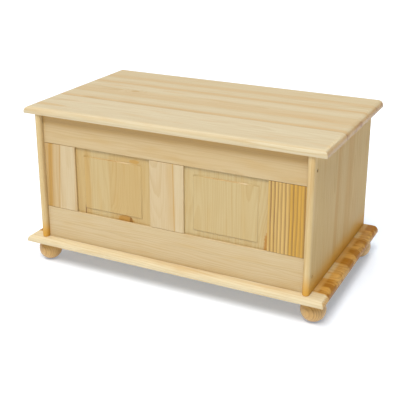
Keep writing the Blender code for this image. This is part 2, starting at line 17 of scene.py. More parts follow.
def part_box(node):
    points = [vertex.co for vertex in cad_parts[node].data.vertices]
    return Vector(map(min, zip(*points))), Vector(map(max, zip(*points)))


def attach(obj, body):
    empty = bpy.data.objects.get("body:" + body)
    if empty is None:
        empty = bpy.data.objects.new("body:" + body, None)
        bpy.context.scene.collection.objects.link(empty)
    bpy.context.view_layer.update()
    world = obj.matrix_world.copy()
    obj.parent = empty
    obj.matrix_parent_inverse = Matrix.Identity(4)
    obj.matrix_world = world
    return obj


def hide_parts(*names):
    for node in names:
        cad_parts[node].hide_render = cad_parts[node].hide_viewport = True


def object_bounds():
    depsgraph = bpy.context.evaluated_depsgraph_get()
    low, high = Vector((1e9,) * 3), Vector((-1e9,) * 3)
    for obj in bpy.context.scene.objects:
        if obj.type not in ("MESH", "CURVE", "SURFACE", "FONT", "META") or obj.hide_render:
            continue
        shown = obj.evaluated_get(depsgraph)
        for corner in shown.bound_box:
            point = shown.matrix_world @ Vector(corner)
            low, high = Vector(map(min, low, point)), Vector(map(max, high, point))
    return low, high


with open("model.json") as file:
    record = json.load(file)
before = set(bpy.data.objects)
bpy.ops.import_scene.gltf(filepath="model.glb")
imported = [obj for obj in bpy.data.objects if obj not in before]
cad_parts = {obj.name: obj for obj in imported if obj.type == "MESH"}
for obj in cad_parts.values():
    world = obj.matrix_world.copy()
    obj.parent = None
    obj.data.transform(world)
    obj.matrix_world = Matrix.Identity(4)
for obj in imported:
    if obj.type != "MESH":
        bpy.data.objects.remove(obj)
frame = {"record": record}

CAD_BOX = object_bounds()
LOG = logging.getLogger("toy_box")
SMOOTH = {"interpolation_type": "SMOOTHSTEP"}  # eases a MapRange node in and out
CREASE = math.radians(50)  # edges sharper than this are softened and keep a crisp line
ROUND_STEPS = 14  # faces across a board's big round
CORNER_STEPS = 6  # faces round a small corner

BMesh = bmesh.types.BMesh
Socket = bpy.types.NodeSocket
Outputs = bpy.types.bpy_prop_collection
Add = Callable[..., Outputs]
Cover = tuple[Socket, Socket | str]
Tree = bpy.types.NodeTree
Outline = list[tuple[float, float]]
Point = tuple[float, float, float]


# ---------------------------------------------------------------- shared helpers
def to_linear(hex_colour: str) -> tuple[float, float, float, float]:
    """Turns an sRGB colour to linear.

    Args:
        hex_colour: the colour as six hex digits, such as D8C397.

    Returns:
        Linear red, green, blue and an alpha of 1.
    """
    channels = [int(hex_colour[i : i + 2], 16) / 255 for i in (0, 2, 4)]
    linear = [c / 12.92 if c <= 0.04045 else ((c + 0.055) / 1.055) ** 2.4 for c in channels]
    return (*linear, 1.0)


def mm(length: float) -> float:
    """Millimetres in metres."""
    return length / 1000


def add_node(
    tree: Tree, kind: str, inputs: Sequence | dict = (), stops: Sequence = (), **settings: object
) -> Outputs:
    """Adds a shader node with its settings, values and links.

    Args:
        tree: the tree that gets the node.
        kind: the node's type without the leading ShaderNode.
        inputs: a value, or another node's output, for each input in order, or by name or number.
        stops: places and grey levels of a colour ramp's stops.
        **settings: properties of the node itself.

    Returns:
        The node's outputs.
    """
    node = tree.nodes.new("ShaderNode" + kind)
    for name, value in settings.items():
        setattr(node, name, value)
    named = inputs if isinstance(inputs, dict) else dict(enumerate(inputs))
    for key, value in named.items():
        if isinstance(value, Socket):
            tree.links.new(value, node.inputs[key])
        else:
            node.inputs[key].default_value = value
    for i, (place, level) in enumerate(stops):
        elements = node.color_ramp.elements
        element = elements[i] if i < len(elements) else elements.new(1.0)
        element.position = place
        element.color = (level, level, level, 1.0)
    return node.outputs


def empty_material(name: str) -> tuple[bpy.types.Material, Add]:
    """Makes a material with an empty tree.

    Args:
        name: its name.

    Returns:
        The material, and add_node for its tree.
    """
    material = bpy.data.materials.new(name)
    material.use_nodes = True
    material.node_tree.nodes.clear()
    return material, partial(add_node, material.node_tree)


def layered(add: Add, ground: Socket | str, *layers: Cover) -> Socket:
    """Lays colours over a ground, one after the other.

    Args:
        add: adds a node to the tree.
        ground: the colour underneath, as a socket or hex digits.
        *layers: the share of the ground that each colour covers, and the colour.

    Returns:
        The colour on top.
    """
    for share, cover in layers:
        first, second = (to_linear(c) if isinstance(c, str) else c for c in (ground, cover))
        ground = add("Mix", {0: share, 6: first, 7: second}, data_type="RGBA")[2]
    return ground


def mottle(add: Add, place: Socket, patches: Vector | Point, detail: float = 2.0) -> Socket:
    """A soft random pattern.

    Args:
        add: adds a node to the tree.
        place: object coordinates in metres.
        patches: how many patches there are in a metre of each axis.
        detail: how much finer pattern lies over it.

    Returns:
        0 to 1, mostly near 0.5.
    """
    drawn = add("VectorMath", (place, patches), operation="MULTIPLY")[0]
    return add("TexNoise", {"Vector": drawn, "Scale": 1.0, "Detail": detail})[0]


def unit(axis: int) -> Vector:
    """The direction of an axis."""
    return Vector(float(i == axis) for i in range(3))


class Grain(Enum):
    """Which way the fibres of a board run."""

    ALONG_X = 0
    ALONG_Y = 1
    UPRIGHT = 2

    @property
    def axis(self) -> Vector:
        """The direction of the fibres."""
        return unit(self.value)

    def patches(self, along: float, across: float) -> Vector:
        """Patches a metre for a pattern of this size in millimetres, along and across the fibres."""
        return (self.axis / along + (Vector((1, 1, 1)) - self.axis) / across) * 1000


# ---------------------------------------------------------------- finishes
@dataclass(frozen=True)
class Knot:
    """A knot or a resin streak: an ellipsoid, with its radii in mm, that the rings bend round."""

    centre: Point
    radii: Point
    colour: str = "B0762F"
    strength: float = 0.9


@dataclass(frozen=True)
class LacqueredPine:
    """Planed pine under clear satin lacquer.

    Pine is pale cream earlywood with narrow honey latewood lines, ring by ring, and its heartwood
    is orange; the lacquer yellows it a little and leaves a soft sheen. Each glued strip comes from
    another tree, so its pith, ring width and tone are face attributes. Lacquer sinks into end
    grain, which turns it a deeper orange brown.
    """

    name: str
    grain: Grain
    across: int = 0  # the axis across the board, which the bands are placed on
    bands: tuple[tuple[float, float], ...] = ()  # place across, and tone from -1 pale to 1 heart; some bands also paint light or shade
    band_lean: float = 0.0
    knots: tuple[Knot, ...] = ()
    earlywood: str = "CCB58A"
    latewood: str = "B58F50"
    sapwood: str = "DACAA2"
    heartwood: str = "C09342"
    end_light: str = "BC8F4E"
    end_dark: str = "96601F"
    end_late: str = "7F4A14"
    joint: str = "7A5221"
    # colour of the painted warm light that the plinth bounces onto a board's foot
    plinth_glow_colour: str = "D49A34"
    ring_contrast: float = 0.5
    end_rings: float = 0.35  # how strongly the rings show in end grain
    soaked_from: float = 0.0  # from the middle along the fibres, where lacquer soaked in from the end
    plinth_glow_height: float = 0.0  # painted warm light bounced off the plinth: how high it reaches above the plinth
    gloss: float = 1.0  # 1 where the lacquer was rubbed to a full satin
    slot: str = "lacquered_pine"

    def build(self) -> bpy.types.Material:
        """Makes the material.

        Returns:
            The material, which reads the face attributes pith, log and wood.
        """
        material, add = empty_material(self.name)
        place = add("TexCoord")["Object"]
        names = ("pith", "log", "wood")
        pith, log, wood = (add("Attribute", attribute_name=name)["Vector"] for name in names)
        ring_width, lean = add("SeparateXYZ", (log,))[:2]
        strip_tone, glue = add("SeparateXYZ", (wood,))[:2]
        distance = self._pith_distance(add, place, pith, lean)
        bend, knots = self._knots(add, place)
        bent = add("Math", (distance, bend), operation="ADD")[0]
        rings = self._rings(add, bent, ring_width, pith)
        # fibres are 0.03 mm wide, too fine to show: drawn 1.6 mm wide and 90 mm long
        fibres = mottle(add, place, self.grain.patches(90, 1.6), 3.0)
        tone = add("Math", (self._band_tone(add, place), strip_tone), operation="ADD")[0]
        colour = layered(add, self._face_colour(add, rings, fibres, tone, place), *knots)
        colour = self._end_grain(add, colour, tone, rings, place)
        # paints the warm light that the plinth bounces onto the board's foot
        if self.plinth_glow_height:
            colour = layered(add, colour, (self._plinth_glow_share(add, place), self.plinth_glow_colour))
        self._lacquer(add, layered(add, colour, (glue, self.joint)), rings, fibres)
        return material

    def _pith_distance(self, add: Add, place: Socket, pith: Socket, lean: Socket) -> Socket:
        """Distance from the strip's pith, with the wander of a real trunk.

        Args:
            add: adds a node to the tree.
            place: object coordinates in metres.
            pith: the pith's place across the fibres.
            lean: how far the trunk leans for each metre of its length.

        Returns:
            The distance in metres.
        """
        # the trunk wanders by 4 mm over about 0.4 m along the fibres and 60 mm across them
        drawn = add(
            "VectorMath", (place, self.grain.patches(400, 60), pith), operation="MULTIPLY_ADD"
        )[0]
        wander = add("TexNoise", {"Vector": drawn, "Scale": 1.0})["Color"]
        spread, half = (mm(16),) * 3, (-mm(8),) * 3
        centred = add("VectorMath", (wander, spread, half), operation="MULTIPLY_ADD")[0]
        along = add("VectorMath", (place, self.grain.axis), operation="DOT_PRODUCT")["Value"]
        leaned = add("Math", (along, lean), operation="MULTIPLY")[0]
        offset = add("VectorMath", (place, pith), operation="SUBTRACT")[0]
        for shift in (centred, leaned):
            offset = add("VectorMath", (offset, shift), operation="ADD")[0]
        crosswise = Vector((1, 1, 1)) - self.grain.axis
        flat = add("VectorMath", (offset, crosswise), operation="MULTIPLY")[0]
        return add("VectorMath", (flat,), operation="LENGTH")["Value"]

    def _knots(self, add: Add, place: Socket) -> tuple[Socket | float, list[Cover]]:
        """Places the knots and bends the rings round them.

        Args:
            add: adds a node to the tree.
            place: object coordinates in metres.

        Returns:
            What the knots add to the distance from the pith, and each knot's share and colour.
        """
        bend, covers = 0.0, []
        ragged = mottle(add, place, self.grain.patches(6, 6)) if self.knots else None
        for knot in self.knots:
            offset = add("VectorMath", (place, knot.centre), operation="SUBTRACT")[0]
            radii = [mm(radius) for radius in knot.radii]
            scaled = add("VectorMath", (offset, radii), operation="DIVIDE")[0]
            reach = add("VectorMath", (scaled,), operation="LENGTH")["Value"]
            edge = add("Math", (ragged, 0.5, reach), operation="MULTIPLY_ADD")[0]
            share = add("MapRange", (edge, 1.40, 1.05, 0.0, knot.strength), **SMOOTH)[0]
            covers.append((share, knot.colour))
            bent = add("MapRange", (reach, 3.0, 0.6, 0.0, mm(6)), **SMOOTH)[0]
            bend = add("Math", (bent, bend), operation="ADD")[0]
        return bend, covers

    def _rings(self, add: Add, distance: Socket, ring_width: Socket, pith: Socket) -> Socket:
        """The share of latewood: a slow rise through each year's ring and a sharp end.

        Args:
            add: adds a node to the tree.
            distance: distance from the pith.
            ring_width: width of a ring in metres.
            pith: the strip's pith, which also seeds its rings.

        Returns:
            0 in earlywood to 1 in latewood.
        """
        years = add("Math", (distance, ring_width), operation="DIVIDE")[0]
        season = add("Math", (years,), operation="FRACT")[0]
        stops = ((0.0, 0.0), (0.40, 0.10), (0.78, 0.85), (0.93, 1.0), (1.0, 0.0))
        late = add("ValToRGB", (season,), stops)["Color"]
        year = add("Math", (years,), operation="FLOOR")[0]
        seed = add("VectorMath", (pith, year), operation="ADD")[0]
        vigour = add("TexWhiteNoise", {"Vector": seed})["Value"]
        strength = add("Math", (vigour, 0.65, 0.35), operation="MULTIPLY_ADD")[0]
        return add("Math", (late, strength), operation="MULTIPLY")[0]

    def _band_tone(self, add: Add, place: Socket) -> Socket | float:
        """Tone of the sapwood and heartwood bands, and of bands that paint light or shade, which
        wander a little along the board.

        Args:
            add: adds a node to the tree.
            place: object coordinates in metres.

        Returns:
            The tone, or 0 without bands.
        """
        if not self.bands:
            return 0.0
        # band edges wander by 3 mm over 250 mm
        drift = mottle(add, place, self.grain.patches(250, 20))
        parts = add("SeparateXYZ", (place,))
        spot = parts[self.across]
        for amount, factor in ((drift, mm(6)), (parts[self.grain.value], -self.band_lean)):
            spot = add("Math", (amount, factor, spot), operation="MULTIPLY_ADD")[0]
        first, last = self.bands[0][0], self.bands[-1][0]
        above = add("Math", (spot, first + mm(3)), operation="SUBTRACT")[0]
        share = add("Math", (above, last - first), operation="DIVIDE")[0]
        stops = [((spot - first) / (last - first), tone / 2 + 0.5) for spot, tone in self.bands]
        level = add("ValToRGB", (share,), stops)["Color"]
        return add("Math", (level, 2.0, -1.0), operation="MULTIPLY_ADD")[0]

    def _face_colour(
        self, add: Add, rings: Socket, fibres: Socket, tone: Socket, place: Socket
    ) -> Socket:
        """Colour along the fibres: rings, sapwood and heartwood, streaks and resin.

        Args:
            add: adds a node to the tree.
            rings: share of latewood.
            fibres: fine streaks.
            tone: -1 pale sapwood to 1 heartwood; on some boards it also carries painted light or
                shade.
            place: object coordinates in metres.

        Returns:
            The colour.
        """
        heartwood_and_shade = add("MapRange", (tone, 0.0, 1.0, 0.0, 1.0), **SMOOTH)[0]
        sapwood_and_light = add("MapRange", (tone, 0.0, -1.0, 0.0, 0.9), **SMOOTH)[0]
        early = layered(add, self.earlywood, (heartwood_and_shade, self.heartwood), (sapwood_and_light, self.sapwood))
        deep = add("MapRange", (tone, 0.2, 1.0, 0.0, 0.7), **SMOOTH)[0]
        late = layered(add, self.latewood, (deep, self.end_dark))
        late_share = add("Math", (rings, self.ring_contrast), operation="MULTIPLY")[0]
        streak = add("MapRange", (fibres, 0.42, 0.75, 0.0, 0.30), **SMOOTH)[0]
        # resin lies in patches about 150 mm long and 25 mm wide
        patches = mottle(add, place, self.grain.patches(150, 25))
        resin = add("MapRange", (patches, 0.50, 0.80, 0.0, 0.30), **SMOOTH)[0]
        layers = (late_share, late), (streak, self.latewood), (resin, self.heartwood)
        return layered(add, early, *layers)

    def _end_grain(
        self, add: Add, colour: Socket, tone: Socket, rings: Socket, place: Socket
    ) -> Socket:
        """Deepens the colour where the surface cuts across the fibres.

        Args:
            add: adds a node to the tree.
            colour: the colour of the faces along the fibres.
            tone: -1 pale sapwood to 1 heartwood; on some boards it also carries painted light or
                shade.
            rings: share of latewood, which shows strongly in end grain.
            place: object coordinates in metres.

        Returns:
            The colour with its end grain.
        """
        normal = add("TexCoord")["Normal"]
        facing = add("VectorMath", (normal, self.grain.axis), operation="DOT_PRODUCT")["Value"]
        tilt = add("Math", (facing,), operation="ABSOLUTE")[0]
        cut = add("MapRange", (tilt, 0.55, 0.97, 0.0, 0.85), **SMOOTH)[0]
        if self.soaked_from:
            along = add("VectorMath", (place, self.grain.axis), operation="DOT_PRODUCT")["Value"]
            reach = add("Math", (along,), operation="ABSOLUTE")[0]
            span = (self.soaked_from, self.soaked_from + mm(10), 0.0, 0.85)
            soaked = add("MapRange", (reach, *span), **SMOOTH)[0]
            # pale sapwood is dense enough to stay dry
            thirsty = add("MapRange", (tone, -0.5, 0.0, 0.0, 1.0), **SMOOTH)[0]
            soaked = add("Math", (soaked, thirsty), operation="MULTIPLY")[0]
            cut = add("Math", (cut, soaked), operation="MAXIMUM")[0]
        depth = add("MapRange", (tone, -0.6, 0.9, 0.0, 1.0), **SMOOTH)[0]
        # thirsty streaks are about 22 mm wide and reach 80 mm into the wood
        thirst = mottle(add, place, self.grain.patches(80, 22), 1.0)
        uneven = add("MapRange", (thirst, 0.36, 0.60, 0.2, 1.3), **SMOOTH)[0]
        depth = add("Math", (depth, uneven), operation="MULTIPLY")[0]
        late = add("Math", (rings, self.end_rings), operation="MULTIPLY")[0]
        end = layered(add, self.end_light, (depth, self.end_dark), (late, self.end_late))
        return layered(add, colour, (cut, end))

    def _plinth_glow_share(self, add: Add, place: Socket) -> Socket:
        """Where painted light lies at a board's foot: the warm glow that the plinth bounces into the
        corner with it.

        Args:
            add: adds a node to the tree.
            place: object coordinates in metres.

        Returns:
            The painted glow's share of the colour.
        """
        height = add("SeparateXYZ", (place,))["Z"]
        uneven = mottle(add, place, self.grain.patches(60, 60))
        edge = add("Math", (uneven, mm(30), height), operation="MULTIPLY_ADD")[0]
        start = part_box("plinth_board")[1].z + mm(20)
        return add("MapRange", (edge, start + self.plinth_glow_height, start, 0.0, 0.85), **SMOOTH)[0]

    def _lacquer(self, add: Add, colour: Socket, rings: Socket, fibres: Socket) -> None:
        """Adds the shader: satin lacquer over faintly ridged grain.

        Args:
            add: adds a node to the tree.
            colour: the colour.
            rings: share of latewood, which stands proud after planing.
            fibres: fine streaks.
        """
        relief = add("Math", (fibres, 0.5, rings), operation="MULTIPLY_ADD")[0]
        ridges = {"Strength": 0.10, "Distance": mm(0.15), "Height": relief}
        values = {
            "Base Color": colour,
            "Roughness": add("MapRange", (fibres, 0.3, 0.7, 0.36, 0.46), **SMOOTH)[0],
            "IOR": 1.5,
            "Specular IOR Level": 0.5 * self.gloss,
            "Coat Weight": 0.35 * self.gloss,
            "Coat Roughness": 0.2,
            "Coat IOR": 1.5,
            "Normal": add("Bump", ridges)[0],
        }
        add("OutputMaterial", {"Surface": add("BsdfPrincipled", values)[0]})


@dataclass(frozen=True)
class PlatedSteel:
    """Pressed steel under a bright electroplate.

    The plate follows the rolled sheet, so the gloss is broken by faint drawn lines and by patches
    that were handled. Zinc is bluish silver; brass plate is a warm yellow.
    """

    name: str
    plate: str
    worn: str
    roughness: float

    @property
    def slot(self) -> str:
        """The record's slot."""
        return self.name

    def build(self) -> bpy.types.Material:
        """Makes the material.

        Returns:
            The material.
        """
        material, add = empty_material(self.name)
        place = add("TexCoord")["Object"]
        # drawn lines 0.25 mm apart that run out over 6 mm
        lines = mottle(add, place, Grain.ALONG_X.patches(6, 0.25), 3.0)
        handled = mottle(add, place, Grain.ALONG_X.patches(4, 4), 3.0)
        worn = add("MapRange", (handled, 0.42, 0.70, 0.0, 0.7), **SMOOTH)[0]
        sheen = (handled, 0.3, 0.7, self.roughness - 0.06, self.roughness + 0.10)
        scratches = {"Strength": 0.12, "Distance": mm(0.03), "Height": lines}
        values = {
            "Base Color": layered(add, self.plate, (worn, self.worn)),
            "Metallic": 1.0,
            "Roughness": add("MapRange", sheen, **SMOOTH)[0],
            "Normal": add("Bump", scratches)[0],
        }
        add("OutputMaterial", {"Surface": add("BsdfPrincipled", values)[0]})
        return material


@dataclass(frozen=True)
class DowelBeech:
    """Bare beech rod: pinkish tan and even, with short dark flecks along the fibres."""

    name: str = "beech"
    body: str = "C9A27A"
    fleck: str = "9C6F45"
    slot: str = "beech"

    def build(self) -> bpy.types.Material:
        """Makes the material.

        Returns:
            The material.
        """
        material, add = empty_material(self.name)
        # ray flecks are about 2.5 mm long and 0.3 mm wide
        rays = mottle(add, add("TexCoord")["Object"], Grain.ALONG_X.patches(2.5, 0.3))
        share = add("MapRange", (rays, 0.55, 0.70, 0.0, 0.8), **SMOOTH)[0]
        colour = layered(add, self.body, (share, self.fleck))
        values = {"Base Color": colour, "Roughness": 0.6, "IOR": 1.5}
        add("OutputMaterial", {"Surface": add("BsdfPrincipled", values)[0]})
        return material


Finish = LacqueredPine | PlatedSteel | DowelBeech

ZINC = PlatedSteel("zinc_plated_steel", "C6C9CC", "9EA2A6", 0.30)
BRASS = PlatedSteel("brassed_steel", "D9B468", "A9823C", 0.26)
BEECH = DowelBeech()
MATERIALS: dict[str, bpy.types.Material] = {}


# ---------------------------------------------------------------- solids
class Rounded(Enum):
    """Which edges of a board get its big round."""

    NONE = "none"
    TOP = "the top of the front and both ends"
    BELOW = "all round the underside"


def plank(
    low: Vector, high: Vector, edges: Rounded = Rounded.NONE, radius: float = 0.0
) -> BMesh:
    """A board between two corners.

    Args:
        low: its lowest corner.
        high: its highest corner.
        edges: which edges get the big round.
        radius: the big round's radius.

    Returns:
        The board.
    """
    mesh = bmesh.new()
    size = Matrix.Diagonal((*(high - low), 1.0))
    bmesh.ops.create_cube(mesh, size=1.0, matrix=Matrix.Translation((low + high) / 2) @ size)
    middle = (low + high) / 2
    chosen = []
    for edge in mesh.edges:
        ends = [vert.co - middle for vert in edge.verts]
        above, below = all(end.z > 0 for end in ends), all(end.z < 0 for end in ends)
        at_back = all(end.y > 0 for end in ends)
        if (above and not at_back) if edges is Rounded.TOP else below:
            chosen.append(edge)
    if edges is not Rounded.NONE:
        bmesh.ops.bevel(
            mesh, geom=chosen, offset=radius, segments=ROUND_STEPS, profile=0.5, affect="EDGES"
        )
    return mesh


def prism(outline: Outline, axis: int, start: float, end: float) -> BMesh:
    """A straight solid: a closed outline swept along an axis.

    Args:
        outline: its points on the other two axes, in their own order.
        axis: the axis that it is swept along.
        start: where it starts.
        end: where it ends.

    Returns:
        The solid.
    """
    mesh = bmesh.new()
    rings = []
    for place in (start, end):
        ring = []
        for first, second in outline:
            point = [first, second]
            point.insert(axis, place)
            ring.append(mesh.verts.new(point))
        rings.append(ring)
    mesh.faces.new(rings[0])
    mesh.faces.new(rings[1])
    for i in range(len(outline)):
        j = (i + 1) % len(outline)
        mesh.faces.new((rings[0][i], rings[0][j], rings[1][j], rings[1][i]))
    bmesh.ops.recalc_face_normals(mesh, faces=mesh.faces)
    return mesh


def lathe(profile: Outline, place: Vector, direction: Vector, steps: int = 32) -> BMesh:
    """A turned solid.

    Args:
        profile: radius, and distance along the direction, from one end to the other.
        place: where distances start.
        direction: the axis that it is turned about.
        steps: how many faces go round it.

    Returns:
        The solid.
    """
    mesh = bmesh.new()
    verts = [mesh.verts.new((radius, 0.0, height)) for radius, height in profile]
    for first, second in zip(verts, verts[1:]):
        mesh.edges.new((first, second))
    geometry = mesh.verts[:] + mesh.edges[:]
    bmesh.ops.spin(mesh, geom=geometry, axis=(0, 0, 1), angle=math.tau, steps=steps)
    bmesh.ops.remove_doubles(mesh, verts=mesh.verts, dist=mm(0.005))
    bmesh.ops.recalc_face_normals(mesh, faces=mesh.faces)
    turn = direction.to_track_quat("Z", "Y").to_matrix().to_4x4()
    bmesh.ops.transform(mesh, matrix=Matrix.Translation(place) @ turn, verts=mesh.verts)
    return mesh


def arc(centre: tuple[float, float], radius: float, start: float, end: float, steps: int) -> Outline:
    """Points of an arc, with its angles in degrees."""
    angles = [math.radians(start + (end - start) * i / steps) for i in range(steps + 1)]
    return [(centre[0] + radius * math.cos(a), centre[1] + radius * math.sin(a)) for a in angles]


def rounded_rectangle(
    low: tuple[float, float], high: tuple[float, float], radius: float
) -> Outline:
    """A rectangle with rounded corners."""
    outline = []
    for x, y, start in (
        (high[0] - radius, high[1] - radius, 0),
        (low[0] + radius, high[1] - radius, 90),
        (low[0] + radius, low[1] + radius, 180),
        (high[0] - radius, low[1] + radius, 270),
    ):
        outline += arc((x, y), radius, start, start + 90, CORNER_STEPS)
    return outline


def join(*meshes: BMesh) -> BMesh:
    """Puts several solids in the first one; the others are freed."""
    for other in meshes[1:]:
        data = bpy.data.meshes.new("joined")
        other.to_mesh(data)
        other.free()
        meshes[0].from_mesh(data)
        bpy.data.meshes.remove(data)
    return meshes[0]


def carve(mesh: BMesh, *tools: BMesh) -> BMesh:
    """Cuts solids out of a solid.

    Args:
        mesh: the solid, which is freed.
        *tools: what is cut out of it, which are freed.

    Returns:
        What is left.
    """
    objects = []
    for solid in (mesh, *tools):
        data = bpy.data.meshes.new("carved")
        solid.to_mesh(data)
        solid.free()
        obj = bpy.data.objects.new("carved", data)
        bpy.context.scene.collection.objects.link(obj)
        objects.append(obj)
    for tool in objects[1:]:
        cut = objects[0].modifiers.new("cut", "BOOLEAN")
        cut.object = tool
        cut.solver = "EXACT"
    graph = bpy.context.evaluated_depsgraph_get()
    result = bmesh.new()
    result.from_object(objects[0], graph)
    for obj in objects:
        bpy.data.objects.remove(obj)
    return result


def drill_bit(place: Vector, direction: Vector, radius: float, reach: float) -> BMesh:
    """A cylinder that reaches equally far either way from its place, for carve."""
    return lathe([(0, -reach), (radius, -reach), (radius, reach), (0, reach)], place, direction)


def soften(mesh: BMesh, width: float) -> None:
    """Breaks every sharp edge.

    Args:
        mesh: the solid.
        width: how wide the softened edge is.
    """
    sharp = [e for e in mesh.edges if e.is_manifold and e.calc_face_angle() > CREASE]
    bmesh.ops.bevel(
        mesh, geom=sharp, offset=width, segments=2, profile=0.5, affect="EDGES", clamp_overlap=True
    )


def place_piece(mesh: BMesh, node: str, finish: Finish) -> bpy.types.Object:
    """Puts a solid on its body in place of its CAD node.

    Args:
        mesh: the solid in the frame's coordinates, which is freed.
        node: the CAD node that it stands for.
        finish: its finish.

    Returns:
        The object.
    """
    data = bpy.data.meshes.new(node)
    mesh.to_mesh(data)
    mesh.free()
    data.shade_smooth()
    data.set_sharp_from_angle(angle=CREASE)
    if finish.name not in MATERIALS:
        MATERIALS[finish.name] = finish.build()
    data.materials.append(MATERIALS[finish.name])
    piece = bpy.data.objects.new(f"{node}_made", data)
    bpy.context.scene.collection.objects.link(piece)
    weighted = piece.modifiers.new("flat faces stay flat", "WEIGHTED_NORMAL")
    weighted.keep_sharp = True
    bodies = frame["record"]["behaviour"]["bodies"]
    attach(piece, next(body for body, nodes in bodies.items() if node in nodes))
    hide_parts(node)
    return piece


# ---------------------------------------------------------------- boards of glued strips
@dataclass(frozen=True)
class Strip:
    """One glued strip of a board, cut from its own tree.

    end is where it ends across the board, as a share of the board's width. pith is the tree's
    centre from the strip's own middle, across the board and into it, in millimetres; ring is the
    width of a ring and lean how far the trunk leans in 1000. glue is how dark its far joint is.
    """

    end: float = 1.0
    pith: tuple[float, float] = (0.0, 70.0)
    ring: float = 3.2
    lean: float = 12.0
    tone: float = 0.0
    glue: float = 0.25


def sawn(
    ends: tuple[float, ...],
    seed: int,
    tones: float = 0.1,
    glue: float = 0.15,
    rings: tuple[float, float] = (2.6, 4.6),
) -> list[Strip]:
    """Strips from ordinary trees.

    Args:
        ends: where each strip ends, as shares of the board's width.
        seed: what makes this board's wood its own.
        tones: how far the strips' tones differ.
        glue: how dark the joints are.
        rings: the least and the most width of a ring, in millimetres.

    Returns:
        The strips.
    """
    draw = random.Random(seed)
    strips = []
    for end in ends:
        pith = (draw.uniform(-60, 60), draw.choice((-1, 1)) * draw.uniform(35, 90))
        tone = draw.uniform(-tones, tones)
        strips.append(Strip(end, pith, draw.uniform(*rings), draw.uniform(-25, 25), tone, glue))
    return strips


@dataclass
class PineBoard:
    """A pine piece: its solid is cut along the glue lines and gets its wood."""

    node: str
    finish: LacqueredPine
    strips: list[Strip] = field(default_factory=lambda: [Strip()])
    glue_line: float = mm(0.9)

    def dress(self, mesh: BMesh) -> bpy.types.Object:
        """Dresses the piece's solid.

        Args:
            mesh: the solid, which is freed.

        Returns:
            The piece, on its body.
        """
        across = self.finish.across
        low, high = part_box(self.node)
        start, span = low[across], high[across] - low[across]
        lines = [start + span * strip.end for strip in self.strips[:-1]]
        normal = unit(across)
        for line in lines:
            for side in (-0.5, 0.5):
                bmesh.ops.bisect_plane(
                    mesh,
                    geom=mesh.verts[:] + mesh.edges[:] + mesh.faces[:],
                    plane_co=normal * (line + side * self.glue_line),
                    plane_no=normal,
                )
        self._mark(mesh, lines, low, high)
        return place_piece(mesh, self.node, self.finish)

    def _mark(self, mesh: BMesh, lines: list[float], low: Vector, high: Vector) -> None:
        """Writes each strip's wood on its faces.

        Args:
            mesh: the solid.
            lines: its glue lines.
            low: its lowest corner.
            high: its highest corner.
        """
        layers = mesh.faces.layers.float_vector
        pith_layer, log_layer, wood_layer = (layers.new(name) for name in ("pith", "log", "wood"))
        across = self.finish.across
        into = 3 - self.finish.grain.value - across
        edges = [low[across], *lines, high[across]]
        for face in mesh.faces:
            where = face.calc_center_median()[across]
            index = sum(where > line for line in lines)
            strip = self.strips[index]
            pith = Vector((0, 0, 0))
            pith[across] = (edges[index] + edges[index + 1]) / 2 + mm(strip.pith[0])
            pith[into] = (low[into] + high[into]) / 2 + mm(strip.pith[1])
            near = [i for i, line in enumerate(lines) if abs(where - line) < self.glue_line / 2]
            glue = self.strips[near[0]].glue if near else 0.0
            face[pith_layer] = pith
            face[log_layer] = (mm(strip.ring), strip.lean / 1000, 0)
            face[wood_layer] = (strip.tone, glue, 0)


